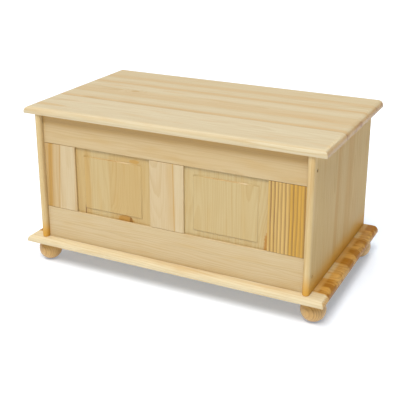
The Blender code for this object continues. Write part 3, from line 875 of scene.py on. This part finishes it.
# ---------------------------------------------------------------- the box's sub-assemblies
@dataclass
class Carcass:
    """The two side boards, the back and the plinth."""

    plinth_round: float = mm(14)
    arris: float = mm(0.6)
    recess_radius: float = mm(4.4)
    recess_depth: float = mm(4.2)
    recess_start: float = mm(2)  # how far outside the face the cutter starts
    nose_steps: int = 24
    side: LacqueredPine = LacqueredPine(
        "pine_sides",
        Grain.UPRIGHT,
        across=1,
        # the pale bands at the front edge are painted light on the front-facing nose, paler than the
        # rest of the board
        bands=(
            (-0.255, -0.9), (-0.240, -0.8), (-0.230, 0.1), (-0.165, 0.0), (-0.066, -0.1),
            (-0.060, 0.42), (-0.034, 0.38), (-0.028, -0.1), (0.022, 0.0), (0.032, 0.32),
            (0.075, 0.28), (0.090, 0.05), (0.250, 0.1),
        ),
        band_lean=0.035,
        earlywood="CFB27C",
        latewood="B0853F",
        sapwood="DAC190",
        heartwood="C4924C",
        ring_contrast=0.32,
        # painted warm light bounced off the plinth, reaching 58 mm up the board's foot
        plinth_glow_height=mm(58),
        gloss=0.04,
    )
    back: LacqueredPine = LacqueredPine("pine_back", Grain.ALONG_X, across=2, ring_contrast=0.4)
    plinth: LacqueredPine = LacqueredPine(
        "pine_plinth",
        Grain.ALONG_X,
        across=1,
        # the front strip's pale bands are sapwood, made paler still as a painted highlight on its
        # front round
        bands=(
            (-0.256, -0.7), (-0.214, -0.6), (-0.207, 1.0), (-0.198, 0.5), (-0.165, 0.7),
            (-0.132, 0.95), (-0.124, 0.1), (-0.100, 0.3), (-0.092, 0.9), (-0.086, 0.0),
            (-0.036, 0.0), (-0.026, 1.0), (0.020, 0.6), (0.040, 0.8), (0.070, 1.0),
            (0.082, 0.5), (0.142, 0.8), (0.150, 0.1), (0.182, 0.2), (0.190, 0.8),
            (0.255, 0.6),
        ),
        earlywood="CDB483",
        sapwood="DED0AE",
        heartwood="C09048",
        end_light="D2A04C",
        end_dark="9E6406",
        end_rings=0.4,
        soaked_from=0.408,
        ring_contrast=0.30,
        gloss=0.2,
    )

    def build(self) -> list[bpy.types.Object]:
        """Makes the boards.

        Returns:
            The boards.
        """
        boards = [self._side("left", -1), self._side("right", 1)]
        low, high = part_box("back_board")
        solid = plank(low, high)
        soften(solid, self.arris)
        strips = sawn((0.2, 0.4, 0.62, 0.8, 1.0), 21, 0.3)
        boards.append(PineBoard("back_board", self.back, strips).dress(solid))
        low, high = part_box("plinth_board")
        solid = plank(low, high, Rounded.TOP, self.plinth_round)
        soften(solid, self.arris)
        ends = (0.10, 0.255, 0.35, 0.445, 0.65, 0.79, 0.86, 1.0)
        strips = sawn(ends, 31, 0.08, rings=(6.0, 9.0))
        glue = (0.85, 0.3, 0.8, 0.3, 0.5, 0.3, 0.3, 0.0)
        strips = [replace(strip, glue=dark) for strip, dark in zip(strips, glue)]
        boards.append(PineBoard("plinth_board", self.plinth, strips).dress(solid))
        return boards

    def _side(self, name: str, sign: int) -> bpy.types.Object:
        """Makes a side board with a half-round front edge and two sunk screw holes.

        Args:
            name: left or right.
            sign: -1 on the left, 1 on the right.

        Returns:
            The board.
        """
        low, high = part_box(f"{name}_side_board")
        radius = (high.x - low.x) / 2
        nose = arc(((low.x + high.x) / 2, low.y + radius), radius, 180, 360, self.nose_steps)
        solid = prism([*nose, (high.x, high.y), (low.x, high.y)], 2, low.z, high.z)
        holes = []
        for rail in ("top_rail", "bottom_rail"):
            inner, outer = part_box(f"{name}_{rail}_screw")
            mouth = (inner + outer) / 2
            mouth.x = sign * max(abs(low.x), abs(high.x))
            inward = Vector((-sign, 0, 0))
            profile = [(0, -self.recess_start), (self.recess_radius, -self.recess_start)]
            profile += [(self.recess_radius, self.recess_depth), (0, self.recess_depth)]
            holes.append(lathe(profile, mouth, inward))
        solid = carve(solid, *holes)
        soften(solid, self.arris)
        strips = sawn((0.17, 0.37, 0.43, 0.53, 0.65, 0.83, 1.0), 11 + sign, 0.1)
        return PineBoard(f"{name}_side_board", self.side, strips).dress(solid)


@dataclass
class FrontFrame:
    """Two grooved rails, three stiles with tenons and two raised panels."""

    arris: float = mm(1.1)
    tongue: float = mm(8)
    groove: float = mm(7)
    play: float = mm(0.5)
    field_slope: float = mm(4)
    slope_steps: tuple[tuple[float, float], ...] = ((0.15, 0.05), (0.70, 0.85), (0.15, 0.10))
    side_margin: float = mm(33)
    top_margin: float = mm(28)
    bottom_margin: float = mm(23)
    first_inset: float = mm(5)
    rail: LacqueredPine = LacqueredPine(
        "pine_rails",
        Grain.ALONG_X,
        across=2,
        # bands from 0.38 up raise the top rail's tone towards the lid: painted warm shade under the
        # lid's overhang
        bands=(
            (0.080, 0.0), (0.140, -0.1), (0.300, 0.0), (0.380, 0.25), (0.412, 0.3), (0.424, 0.6),
            (0.450, 0.7),
        ),
        ring_contrast=0.36,
        gloss=0.6,
    )
    left_stile: LacqueredPine = LacqueredPine(
        "pine_left_stile",
        Grain.UPRIGHT,
        bands=(
            (-0.400, 0.35), (-0.390, 0.5), (-0.384, 1.0), (-0.378, 0.9), (-0.371, 0.55),
            (-0.362, 0.35), (-0.352, 0.40), (-0.349, 0.70), (-0.346, 0.10), (-0.335, -0.15),
            (-0.304, -0.1), (-0.298, 0.35), (-0.280, 0.3),
        ),
        band_lean=0.05,
        heartwood="BA8A2A",
        ring_contrast=0.42,
    )
    centre_stile: LacqueredPine = LacqueredPine(
        "pine_centre_stile",
        Grain.UPRIGHT,
        bands=(
            (-0.056, 0.1), (0.000, 0.2), (0.024, 0.30), (0.0265, 0.85), (0.029, 0.15),
            (0.033, -0.35), (0.040, -0.30), (0.060, 0.0),
        ),
        band_lean=-0.02,
        ring_contrast=0.32,
    )
    right_stile: LacqueredPine = LacqueredPine(
        "pine_right_stile",
        Grain.UPRIGHT,
        bands=((0.270, 0.1), (0.335, 0.15), (0.341, 1.0), (0.390, 1.0)),
        earlywood="D2AB5C",
        latewood="7A5010",
        heartwood="CC9A28",
        end_dark="5C3604",
        ring_contrast=1.0,
    )
    left_panel: LacqueredPine = LacqueredPine(
        "pine_left_panel",
        Grain.UPRIGHT,
        bands=(
            (-0.290, 0.45), (-0.258, 0.35), (-0.250, 0.55), (-0.236, 0.45), (-0.230, -0.1),
            (-0.180, -0.05), (-0.174, 0.35), (-0.090, 0.40), (-0.045, 0.15),
        ),
        earlywood="C6AD79",
        knots=(
            Knot((-0.129, -0.218, 0.175), (26, 40, 19), "B4802B"),
            Knot((-0.112, -0.218, 0.176), (5, 40, 14), "8A5A16"),
            Knot((-0.098, -0.218, 0.350), (15, 40, 5), "C0903F", 0.7),
            Knot((-0.256, -0.218, 0.186), (2, 40, 20), "7E4F1C", 0.8),
        ),
        ring_contrast=0.42,
        gloss=0.5,
    )
    right_panel: LacqueredPine = LacqueredPine(
        "pine_right_panel",
        Grain.UPRIGHT,
        bands=(
            (0.045, 0.0), (0.110, 0.1), (0.190, -0.05), (0.222, 0.25), (0.246, 0.15),
            (0.290, 0.1),
        ),
        earlywood="C6AF7D",
        knots=(Knot((0.284, -0.218, 0.186), (12, 40, 40), "B47C2C"),),
        ring_contrast=0.45,
        gloss=0.5,
    )

    def build(self) -> list[bpy.types.Object]:
        """Makes the rails, stiles and panels.

        Returns:
            The pieces.
        """
        return [*self._rails(), *self._stiles(), *self._panels()]

    def _tongue_front(self) -> float:
        """Where the panels' tongues start, behind the frame's face."""
        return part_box("left_raised_panel")[1].y - self.tongue

    def _rails(self) -> list[bpy.types.Object]:
        """Makes the rails, each with a groove along its inner edge.

        Returns:
            The rails.
        """
        strips = {
            "top_rail": [Strip(pith=(-30, 60), ring=2.8, lean=5)],
            "bottom_rail": [Strip(0.55, (40, 70), 2.6, 6), Strip(1.0, (-50, 55), 3.0, -6)],
        }
        front, rear = self._tongue_front() - self.play, self._tongue_front() + self.tongue
        rails = []
        for node, wood in strips.items():
            low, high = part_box(node)
            inner, outer = (high.z, low.z) if node == "bottom_rail" else (low.z, high.z)
            floor = inner + math.copysign(self.groove, outer - inner)
            outline = [(low.y, outer), (low.y, inner), (front, inner), (front, floor)]
            outline += [(rear + self.play, floor), (rear + self.play, inner)]
            outline += [(high.y, inner), (high.y, outer)]
            solid = prism(outline, 0, low.x, high.x)
            soften(solid, self.arris)
            rails.append(PineBoard(node, self.rail, wood).dress(solid))
        return rails

    def _stiles(self) -> list[bpy.types.Object]:
        """Makes the stiles, each grooved for its panels and with a tenon at both ends.

        Returns:
            The stiles.
        """
        woods = {
            "left_stile": (self.left_stile, Strip(pith=(30, 90), ring=4.2, lean=14)),
            "centre_stile": (self.centre_stile, Strip(pith=(-12, 46), ring=3.4, lean=60)),
            "right_stile": (self.right_stile, Strip(pith=(-150, 8), ring=9.6, lean=14)),
        }
        front, rear = self._tongue_front(), self._tongue_front() + self.tongue
        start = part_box("bottom_rail")[1].z + self.play
        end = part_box("top_rail")[0].z - self.play
        stiles = []
        for node, (finish, wood) in woods.items():
            low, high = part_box(node)
            outline = [(low.x, low.y), (high.x, low.y)]
            if node != "right_stile":
                outline += self._side_groove(high.x, high.x - self.groove)
            outline += [(high.x, high.y), (low.x, high.y)]
            if node != "left_stile":
                outline += self._side_groove(low.x, low.x + self.groove)[::-1]
            body = prism(outline, 2, start, end)
            soften(body, self.arris)
            inset = Vector((self.groove, 0, 0))
            tenon_low, tenon_high = low + inset, high - inset
            tenon_low.y, tenon_high.y = front, rear
            solid = join(body, plank(tenon_low, tenon_high))
            stiles.append(PineBoard(node, finish, [wood]).dress(solid))
        return stiles

    def _side_groove(self, edge: float, floor: float) -> Outline:
        """A groove in a stile's edge, from front to back."""
        front = self._tongue_front() - self.play
        rear = self._tongue_front() + self.tongue + self.play
        return [(edge, front), (floor, front), (floor, rear), (edge, rear)]

    def _panels(self) -> list[bpy.types.Object]:
        """Makes the panels: a flat margin, a slope and a raised field.

        Returns:
            The panels.
        """
        woods = {
            "left_raised_panel": (self.left_panel, sawn((0.26, 0.48, 0.9, 1.0), 61, 0.08)),
            "right_raised_panel": (self.right_panel, sawn((0.3, 0.62, 1.0), 64, 0.05)),
        }
        panels = []
        for node, (finish, strips) in woods.items():
            low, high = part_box(node)
            front = self._tongue_front()
            solid = plank(Vector((low.x, front, low.z)), high)
            face = min(solid.faces, key=lambda f: f.calc_center_median().y)
            bmesh.ops.inset_region(solid, faces=[face], thickness=self.first_inset)
            middle = (low + high) / 2
            for vert in face.verts:
                margin = self.top_margin if vert.co.z > middle.z else self.bottom_margin
                for i, width in ((0, self.side_margin), (2, margin)):
                    step = width - self.first_inset
                    vert.co[i] -= math.copysign(step, vert.co[i] - middle[i])
            rise = front - low.y
            for width, height in self.slope_steps:
                bmesh.ops.inset_region(
                    solid, faces=[face], thickness=width * self.field_slope, depth=height * rise
                )
            panels.append(PineBoard(node, finish, strips, mm(0.5)).dress(solid))
        return panels


@dataclass
class BallFeet:
    """Four feet turned from one billet each, so the fibres run upright."""

    flat_rim: float = mm(1.0)
    cut: float = 1.5  # degrees of the ball that the flats at its poles take away
    profile_steps: int = 40
    turned_steps: int = 64
    finish: LacqueredPine = LacqueredPine(
        "turned_pine",
        Grain.UPRIGHT,
        earlywood="D8AE66",
        latewood="A66C26",
        sapwood="E0BE80",
        heartwood="C88F3E",
        end_light="C8964E",
        ring_contrast=0.65,
        slot="turned_pine",
    )

    def build(self) -> list[bpy.types.Object]:
        """Makes the feet and the hanger bolts that hold them.

        Returns:
            The pieces.
        """
        pieces = []
        for seed, end in enumerate(("front", "back")):
            for side in ("left", "right"):
                node = f"{end}_{side}_foot"
                low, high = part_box(node)
                radius, height = (high.x - low.x) / 2, high.z - low.z
                limit = math.degrees(math.asin(height / 2 / radius)) - self.cut
                ball = arc((0.0, height / 2), radius, limit, -limit, self.profile_steps)
                rim = ball[0][0] - self.flat_rim
                profile = [(0.0, height), (rim, height), *ball, (rim, 0.0), (0.0, 0.0)]
                place = Vector(((low.x + high.x) / 2, (low.y + high.y) / 2, low.z))
                wood = Strip(pith=(18, 34 + 10 * seed), ring=4.0, lean=20 - 12 * seed, tone=0.15)
                solid = lathe(profile, place, unit(2), self.turned_steps)
                pieces.append(PineBoard(node, self.finish, [wood]).dress(solid))
                pieces.append(turned_rod(f"{node}_bolt", 2, ZINC))
        return pieces


def turned_rod(node: str, axis: int, finish: Finish, chamfer: float = mm(0.6)) -> bpy.types.Object:
    """A plain rod with chamfered ends, in place of its CAD node.

    Args:
        node: the CAD node.
        axis: the rod's axis.
        finish: its finish.
        chamfer: the size of the chamfers.

    Returns:
        The rod.
    """
    low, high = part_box(node)
    length = high[axis] - low[axis]
    radius = (high[axis - 1] - low[axis - 1]) / 2
    place = (low + high) / 2
    place[axis] = low[axis]
    profile = [(0, 0), (radius - chamfer, 0), (radius, chamfer), (radius, length - chamfer)]
    profile += [(radius - chamfer, length), (0, length)]
    return place_piece(lathe(profile, place, unit(axis)), node, finish)


@dataclass
class Lid:
    """The lid board and the two battens under it."""

    edge_round: float = mm(14)
    arris: float = mm(0.6)
    batten_round: float = mm(3)
    board: LacqueredPine = LacqueredPine(
        "pine_lid",
        Grain.ALONG_X,
        across=1,
        bands=(
            (-0.247, -0.35), (-0.096, -0.4), (-0.091, 0.55), (-0.076, 0.40), (-0.064, -0.35),
            (-0.036, -0.3), (-0.022, 0.42), (0.034, 0.36), (0.050, -0.35), (0.080, -0.3),
            (0.090, 0.35), (0.101, 0.55), (0.112, 0.2), (0.122, -0.25), (0.143, -0.2),
            (0.157, 0.35), (0.178, 0.35), (0.190, 0.0), (0.235, 0.2), (0.254, 0.0),
        ),
        knots=(
            Knot((-0.240, 0.028, 0.466), (14, 9, 20), "B99456", 0.6),
            Knot((-0.400, -0.196, 0.466), (80, 11, 20), "C9A468", 0.5),
        ),
        earlywood="CFBE97",
        sapwood="E0D4B8",
        heartwood="CBA064",
        end_light="C39A5C",
        end_dark="9C6428",
        end_rings=0.5,
        ring_contrast=0.40,
        gloss=0.5,
    )
    batten: LacqueredPine = LacqueredPine(
        "pine_battens", Grain.ALONG_Y, across=0, ring_contrast=0.45
    )

    def build(self) -> list[bpy.types.Object]:
        """Makes the board and the battens.

        Returns:
            The pieces.
        """
        solid = plank(*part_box("lid_board"), Rounded.TOP, self.edge_round)
        soften(solid, self.arris)
        strips = sawn((0.311, 0.434, 0.584, 0.70, 0.795, 0.87, 1.0), 41, 0.06, 0.1)
        strips[0] = Strip(0.311, (20, -60), 3.6, 10, 0.0, 0.55)
        pieces = [PineBoard("lid_board", self.board, strips).dress(solid)]
        for seed, node in enumerate(("left_lid_batten", "right_lid_batten")):
            solid = plank(*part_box(node), Rounded.BELOW, self.batten_round)
            wood = Strip(pith=(10 - 30 * seed, 50), ring=3.4, tone=0.1)
            pieces.append(PineBoard(node, self.batten, [wood]).dress(solid))
        return pieces


@dataclass
class Hinges:
    """Two butt hinges on the back: leaves with rolled knuckles, and their pins."""

    sheet: float = mm(1.5)
    corner: float = mm(2.5)
    clear: float = mm(3.8)
    play: float = mm(0.15)
    bore_play: float = mm(0.25)
    leaf_edge: float = mm(0.2)
    knuckle_edge: float = mm(0.3)
    pin_chamfer: float = mm(0.4)

    def build(self) -> list[bpy.types.Object]:
        """Makes the leaves and the pins.

        Returns:
            The pieces.
        """
        pieces = []
        for side in ("left", "right"):
            low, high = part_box(f"{side}_hinge_fixed_leaf")
            middle, half = (low.x + high.x) / 2, (high.x - low.x) / 2
            third = half / 3
            outer = ((-half, -third - self.play), (third + self.play, half))
            inner = ((-third + self.play, third - self.play),)
            pieces.append(self._leaf(f"{side}_hinge_fixed_leaf", middle, outer, -1))
            pieces.append(self._leaf(f"{side}_hinge_lid_leaf", middle, inner, 1))
            pieces.append(turned_rod(f"{side}_hinge_pin", 0, BRASS, self.pin_chamfer))
        return pieces

    def _leaf(
        self, node: str, middle: float, knuckles: tuple[tuple[float, float], ...], way: int
    ) -> bpy.types.Object:
        """Makes a leaf.

        Args:
            node: its CAD node.
            middle: the middle of its length.
            knuckles: start and end of each knuckle from the middle.
            way: 1 for a leaf above the pin, -1 for one below.

        Returns:
            The leaf.
        """
        low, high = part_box(node)
        pin_low, pin_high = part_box(node.replace("fixed_leaf", "pin").replace("lid_leaf", "pin"))
        axis = (pin_low + pin_high) / 2
        root = axis.z + way * self.clear
        far = high.z if way > 0 else low.z
        outline = rounded_rectangle((low.x, min(root, far)), (high.x, max(root, far)), self.corner)
        solid = prism(outline, 1, low.y, low.y + self.sheet)
        soften(solid, self.leaf_edge)
        radius = high.y - axis.y
        bore = (pin_high.z - pin_low.z) / 2 + self.bore_play
        parts = []
        for start, end in knuckles:
            tab = [(middle + start, axis.z), (middle + end, axis.z)]
            tab += [(middle + end, root + way * self.corner)]
            tab += [(middle + start, root + way * self.corner)]
            parts.append(prism(tab, 1, low.y, low.y + self.sheet))
            soft = self.knuckle_edge
            profile = [(bore, start), (radius - soft, start), (radius, start + soft)]
            profile += [(radius, end - soft), (radius - soft, end), (bore, end), (bore, start)]
            place = Vector((middle, axis.y, axis.z))
            parts.append(lathe(profile, place, unit(0)))
        return place_piece(join(solid, *parts), node, BRASS)


@dataclass
class FoldingStay:
    """The friction stay on the left: two arms, two brackets and three rivets."""

    edge: float = mm(0.35)
    corner: float = mm(4)
    bend: float = mm(3)
    sheet: float = mm(2)
    rivet_head: float = mm(1.5)
    rivet_shank: float = mm(2.5)
    rivet_play: float = mm(0.35)
    rivet_dome: tuple[tuple[float, float], ...] = ((0.55, mm(0.1)), (0.9, mm(0.7)))
    hole_reach: float = mm(12)
    bend_steps: int = 8
    end_steps: int = 20

    def build(self) -> list[bpy.types.Object]:
        """Makes the arms, the brackets and the rivets.

        Returns:
            The pieces.
        """
        pieces = [
            self._arm("stay_lower_arm", "stay_side_rivet"),
            self._arm("stay_upper_arm", "stay_lid_rivet"),
        ]
        low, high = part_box("stay_side_bracket")
        outline = rounded_rectangle((low.y, low.z), (high.y, high.z), self.corner)
        solid = carve(prism(outline, 0, low.x, high.x), self._rivet_hole("stay_side_rivet"))
        soften(solid, self.edge)
        pieces.append(place_piece(solid, "stay_side_bracket", ZINC))
        low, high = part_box("stay_lid_bracket")
        inner = self.bend - self.sheet
        outline = [(low.x, low.z)]
        centre = (low.x + self.bend, high.z - self.bend)
        outline += arc(centre, self.bend, 180, 90, self.bend_steps)
        outline += [(high.x, high.z), (high.x, high.z - self.sheet)]
        outline += arc(centre, inner, 90, 180, self.bend_steps)
        outline += [(low.x + self.sheet, low.z)]
        solid = carve(prism(outline, 1, low.y, high.y), self._rivet_hole("stay_lid_rivet"))
        soften(solid, self.edge)
        pieces.append(place_piece(solid, "stay_lid_bracket", ZINC))
        for node in ("stay_side_rivet", "stay_elbow_rivet", "stay_lid_rivet"):
            pieces.append(self._rivet(node))
        return pieces

    def _arm(self, node: str, pivot: str) -> bpy.types.Object:
        """Makes a flat bar with round ends between its pivot and the elbow.

        Args:
            node: its CAD node.
            pivot: the rivet that it turns on.

        Returns:
            The arm.
        """
        low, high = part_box(node)
        start, end = (sum(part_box(name), Vector()) / 2 for name in (pivot, "stay_elbow_rivet"))
        slope = math.degrees(math.atan2(end.z - start.z, end.y - start.y))
        radius = (high.z - low.z - abs(end.z - start.z)) / 2
        outline = arc((end.y, end.z), radius, slope - 90, slope + 90, self.end_steps)
        outline += arc((start.y, start.z), radius, slope + 90, slope + 270, self.end_steps)
        solid = prism(outline, 0, low.x, high.x)
        solid = carve(solid, self._rivet_hole(pivot), self._rivet_hole("stay_elbow_rivet"))
        soften(solid, self.edge)
        return place_piece(solid, node, ZINC)

    def _rivet_hole(self, node: str) -> BMesh:
        """The hole for a rivet."""
        place = sum(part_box(node), Vector()) / 2
        return drill_bit(place, unit(0), self.rivet_shank + self.rivet_play, self.hole_reach)

    def _rivet(self, node: str) -> bpy.types.Object:
        """Makes a rivet with domed heads; the side rivet's far end is flush in its bracket."""
        low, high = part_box(node)
        radius, length = (high.y - low.y) / 2, high.x - low.x
        place = Vector((low.x, (low.y + high.y) / 2, (low.z + high.z) / 2))
        dome = [(radius * share, drop) for share, drop in self.rivet_dome]
        far = [(0, length), *((spot, length - drop) for spot, drop in dome)]
        far += [(radius, length - self.rivet_head), (self.rivet_shank, length - self.rivet_head)]
        near = [(self.rivet_shank, 0), (0, 0)]
        if node != "stay_side_rivet":
            near = [(self.rivet_shank, self.rivet_head), (radius, self.rivet_head)]
            near += [*reversed(dome), (0, 0)]
        return place_piece(lathe(far + near, place, unit(0)), node, ZINC)


class Drive(Enum):
    """The recess in a screw's head."""

    CROSS = "cross"
    HEX = "hex socket"


@dataclass
class Fasteners:
    """Every screw, with its driver's recess, and the beech dowels in the back."""

    # a head's height and its shank's radius
    batten_size: tuple[float, float] = (mm(2.2), mm(1.8))
    connecting_size: tuple[float, float] = (mm(3.0), mm(2.4))
    hinge_size: tuple[float, float] = (mm(1.4), mm(1.3))
    stay_size: tuple[float, float] = (mm(1.6), mm(1.6))
    # shares of a head's radius and height
    dome: tuple[tuple[float, float], ...] = ((0.6, 0.02), (0.85, 0.18), (1.0, 0.62))
    recess_depth: float = 0.7
    hex_radius: float = 0.55
    cross_length: float = 1.1
    cross_width: float = 0.22

    def build(self) -> list[bpy.types.Object]:
        """Makes the screws and the dowels.

        Returns:
            The pieces.
        """
        up, into_back, into_side = unit(2), Vector((0, -1, 0)), Vector((-1, 0, 0))
        pieces = []
        for side, sign in (("left", -1), ("right", 1)):
            for end in ("front", "back"):
                node = f"{side}_batten_{end}_screw"
                pieces.append(self._screw(node, up, self.batten_size, ZINC))
            for rail in ("top_rail", "bottom_rail"):
                inward = Vector((-sign, 0, 0))
                node = f"{side}_{rail}_screw"
                size = self.connecting_size
                pieces.append(self._screw(node, inward, size, ZINC, Drive.HEX))
            for row in ("fixed", "lid"):
                for end in ("outer", "inner"):
                    node = f"{side}_hinge_{row}_{end}_screw"
                    pieces.append(self._screw(node, into_back, self.hinge_size, BRASS))
            for level in ("upper", "lower"):
                pieces.append(turned_rod(f"{side}_{level}_back_dowel", 0, BEECH))
        for node, inward in (
            ("stay_side_upper_screw", into_side),
            ("stay_side_lower_screw", into_side),
            ("stay_lid_outer_screw", up),
            ("stay_lid_inner_screw", up),
        ):
            pieces.append(self._screw(node, inward, self.stay_size, ZINC))
        return pieces

    def _screw(
        self,
        node: str,
        inward: Vector,
        size: tuple[float, float],
        finish: PlatedSteel,
        drive: Drive = Drive.CROSS,
    ) -> bpy.types.Object:
        """Makes a screw.

        Args:
            node: its CAD node.
            inward: the way it is driven.
            size: its head's height and its shank's radius.
            finish: its finish.
            drive: the recess in its head.

        Returns:
            The screw.
        """
        low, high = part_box(node)
        axis = max(range(3), key=lambda i: abs(inward[i]))
        top = (low + high) / 2
        top[axis] = low[axis] if inward[axis] > 0 else high[axis]
        length = high[axis] - low[axis]
        radius = (high[axis - 1] - low[axis - 1]) / 2
        head, shank = size
        profile = [(0, 0), *((radius * out, head * down) for out, down in self.dome)]
        profile += [(radius, head), (shank, head), (shank, length - 2 * shank), (0, length)]
        tools = []
        depth = head * self.recess_depth
        seat = Matrix.Translation(top) @ inward.to_track_quat("Z", "Y").to_matrix().to_4x4()
        if drive is Drive.HEX:
            tool = bmesh.new()
            reach = radius * self.hex_radius
            bmesh.ops.create_cone(
                tool, cap_ends=True, segments=6, radius1=reach, radius2=reach, depth=2 * depth
            )
            tools.append(tool)
        else:
            bar = (self.cross_length, self.cross_width)
            for wide, thin in (bar, bar[::-1]):
                tool = bmesh.new()
                scale = Matrix.Diagonal((wide * radius, thin * radius, 2 * depth, 1))
                bmesh.ops.create_cube(tool, size=1.0, matrix=scale)
                tools.append(tool)
        for tool in tools:
            bmesh.ops.transform(tool, matrix=seat, verts=tool.verts)
        return place_piece(carve(lathe(profile, top, inward), *tools), node, finish)


# ---------------------------------------------------------------- studio
@dataclass
class Studio:
    """Pale floor, soft light and the camera."""

    azimuth: float = 26.5
    elevation: float = 19.31
    distance: float = 2.299
    aim: Point = (-0.0164, 0.0, 0.2982)
    focal_length: float = 73.2
    shift: float = -0.10
    floor_half_width: float = 40.0
    floor_colour: str = "E6E6E8"
    floor_cloud: str = "EAEAEB"
    floor_glow: float = 0.31
    glow_colour: str = "D0E8FF"
    sky: float = 0.20
    sky_tint: tuple[float, ...] = (0.96, 0.98, 1.0, 1.0)  # linear
    backdrop: float = 0.50
    backdrop_side: Point = (-0.42, 0.85, 0.30)
    overhead: float = 1.08
    key: float = 2.5

    def build(self) -> None:
        """Makes the camera, the floor and the lights."""
        self._camera()
        self._floor()
        self._world()
        # a wide soft box overhead, and one high in front
        self._soft_light("overhead", self.overhead, (-0.30, -0.05, 1.0), 65)
        self._soft_light("front", self.key, (0.14, -1.0, 1.62), 26)
        bpy.context.scene.view_settings.view_transform = "Standard"

    def _camera(self) -> None:
        """Stands the camera in front of the box, to its right, looking down."""
        data = bpy.data.cameras.new("camera")
        data.sensor_width = 36.0
        data.lens = self.focal_length
        data.shift_y = self.shift
        data.clip_end = 200
        camera = bpy.data.objects.new("camera", data)
        bpy.context.scene.collection.objects.link(camera)
        turn, rise = math.radians(self.azimuth), math.radians(self.elevation)
        back = Vector(
            (math.sin(turn) * math.cos(rise), -math.cos(turn) * math.cos(rise), math.sin(rise))
        )
        camera.location = Vector(self.aim) + back * self.distance
        camera.rotation_mode = "QUATERNION"
        camera.rotation_quaternion = (-back).to_track_quat("-Z", "Y")
        bpy.context.scene.camera = camera

    def _floor(self) -> None:
        """Lays a wide sheet of opal acrylic, lit faintly from below, with a faint mottle."""
        mesh = bmesh.new()
        bmesh.ops.create_grid(mesh, x_segments=1, y_segments=1, size=self.floor_half_width)
        data = bpy.data.meshes.new("floor")
        mesh.to_mesh(data)
        mesh.free()
        floor = bpy.data.objects.new("floor", data)
        floor.location.z = CAD_BOX[0].z - mm(0.5)
        bpy.context.scene.collection.objects.link(floor)
        material, add = empty_material("opal_floor")
        clouds = mottle(add, add("TexCoord")["Object"], (1.0, 1.0, 1.0))
        values = {
            "Base Color": layered(add, self.floor_colour, (clouds, self.floor_cloud)),
            "Roughness": 0.9,
            "Specular IOR Level": 0.1,
            "Emission Color": to_linear(self.glow_colour),
            "Emission Strength": self.floor_glow,
        }
        add("OutputMaterial", {"Surface": add("BsdfPrincipled", values)[0]})
        data.materials.append(material)

    def _world(self) -> None:
        """Surrounds the scene with soft white, brighter behind the box and white to the eye."""
        world = bpy.data.worlds.new("studio")
        world.use_nodes = True
        world.node_tree.nodes.clear()
        add = partial(add_node, world.node_tree)
        direction = add("TexCoord")["Generated"]
        towards = (direction, self.backdrop_side)
        behind = add("VectorMath", towards, operation="DOT_PRODUCT")["Value"]
        glow = add("MapRange", (behind, 0.3, 0.95, self.sky, self.backdrop), **SMOOTH)[0]
        seen = add("LightPath")["Is Camera Ray"]
        strength = add("Math", (glow, seen), operation="MAXIMUM")[0]
        background = add("Background", (self.sky_tint, strength))[0]
        add("OutputWorld", (background,))
        bpy.context.scene.world = world

    @staticmethod
    def _soft_light(name: str, strength: float, source: Point, width: float) -> None:
        """Adds a far, wide light.

        Args:
            name: its name.
            strength: its irradiance in watts a square metre.
            source: the direction that it comes from.
            width: its apparent width in degrees.
        """
        data = bpy.data.lights.new(name, "SUN")
        data.energy = strength
        data.angle = math.radians(width)
        light = bpy.data.objects.new(name, data)
        light.rotation_mode = "QUATERNION"
        light.rotation_quaternion = Vector(source).to_track_quat("Z", "Y")
        bpy.context.scene.collection.objects.link(light)


def main() -> None:
    """Builds the camera and studio, then each sub-assembly in turn."""
    logging.basicConfig(level=logging.INFO, format="%(name)s: %(message)s")
    Studio().build()
    assemblies = (
        Carcass(), FrontFrame(), BallFeet(), Lid(), Hinges(), FoldingStay(), Fasteners()
    )
    for assembly in assemblies:
        for piece in assembly.build():
            LOG.info("%s: %s", type(assembly).__name__, piece.name)


if __name__ == "__main__":
    main()
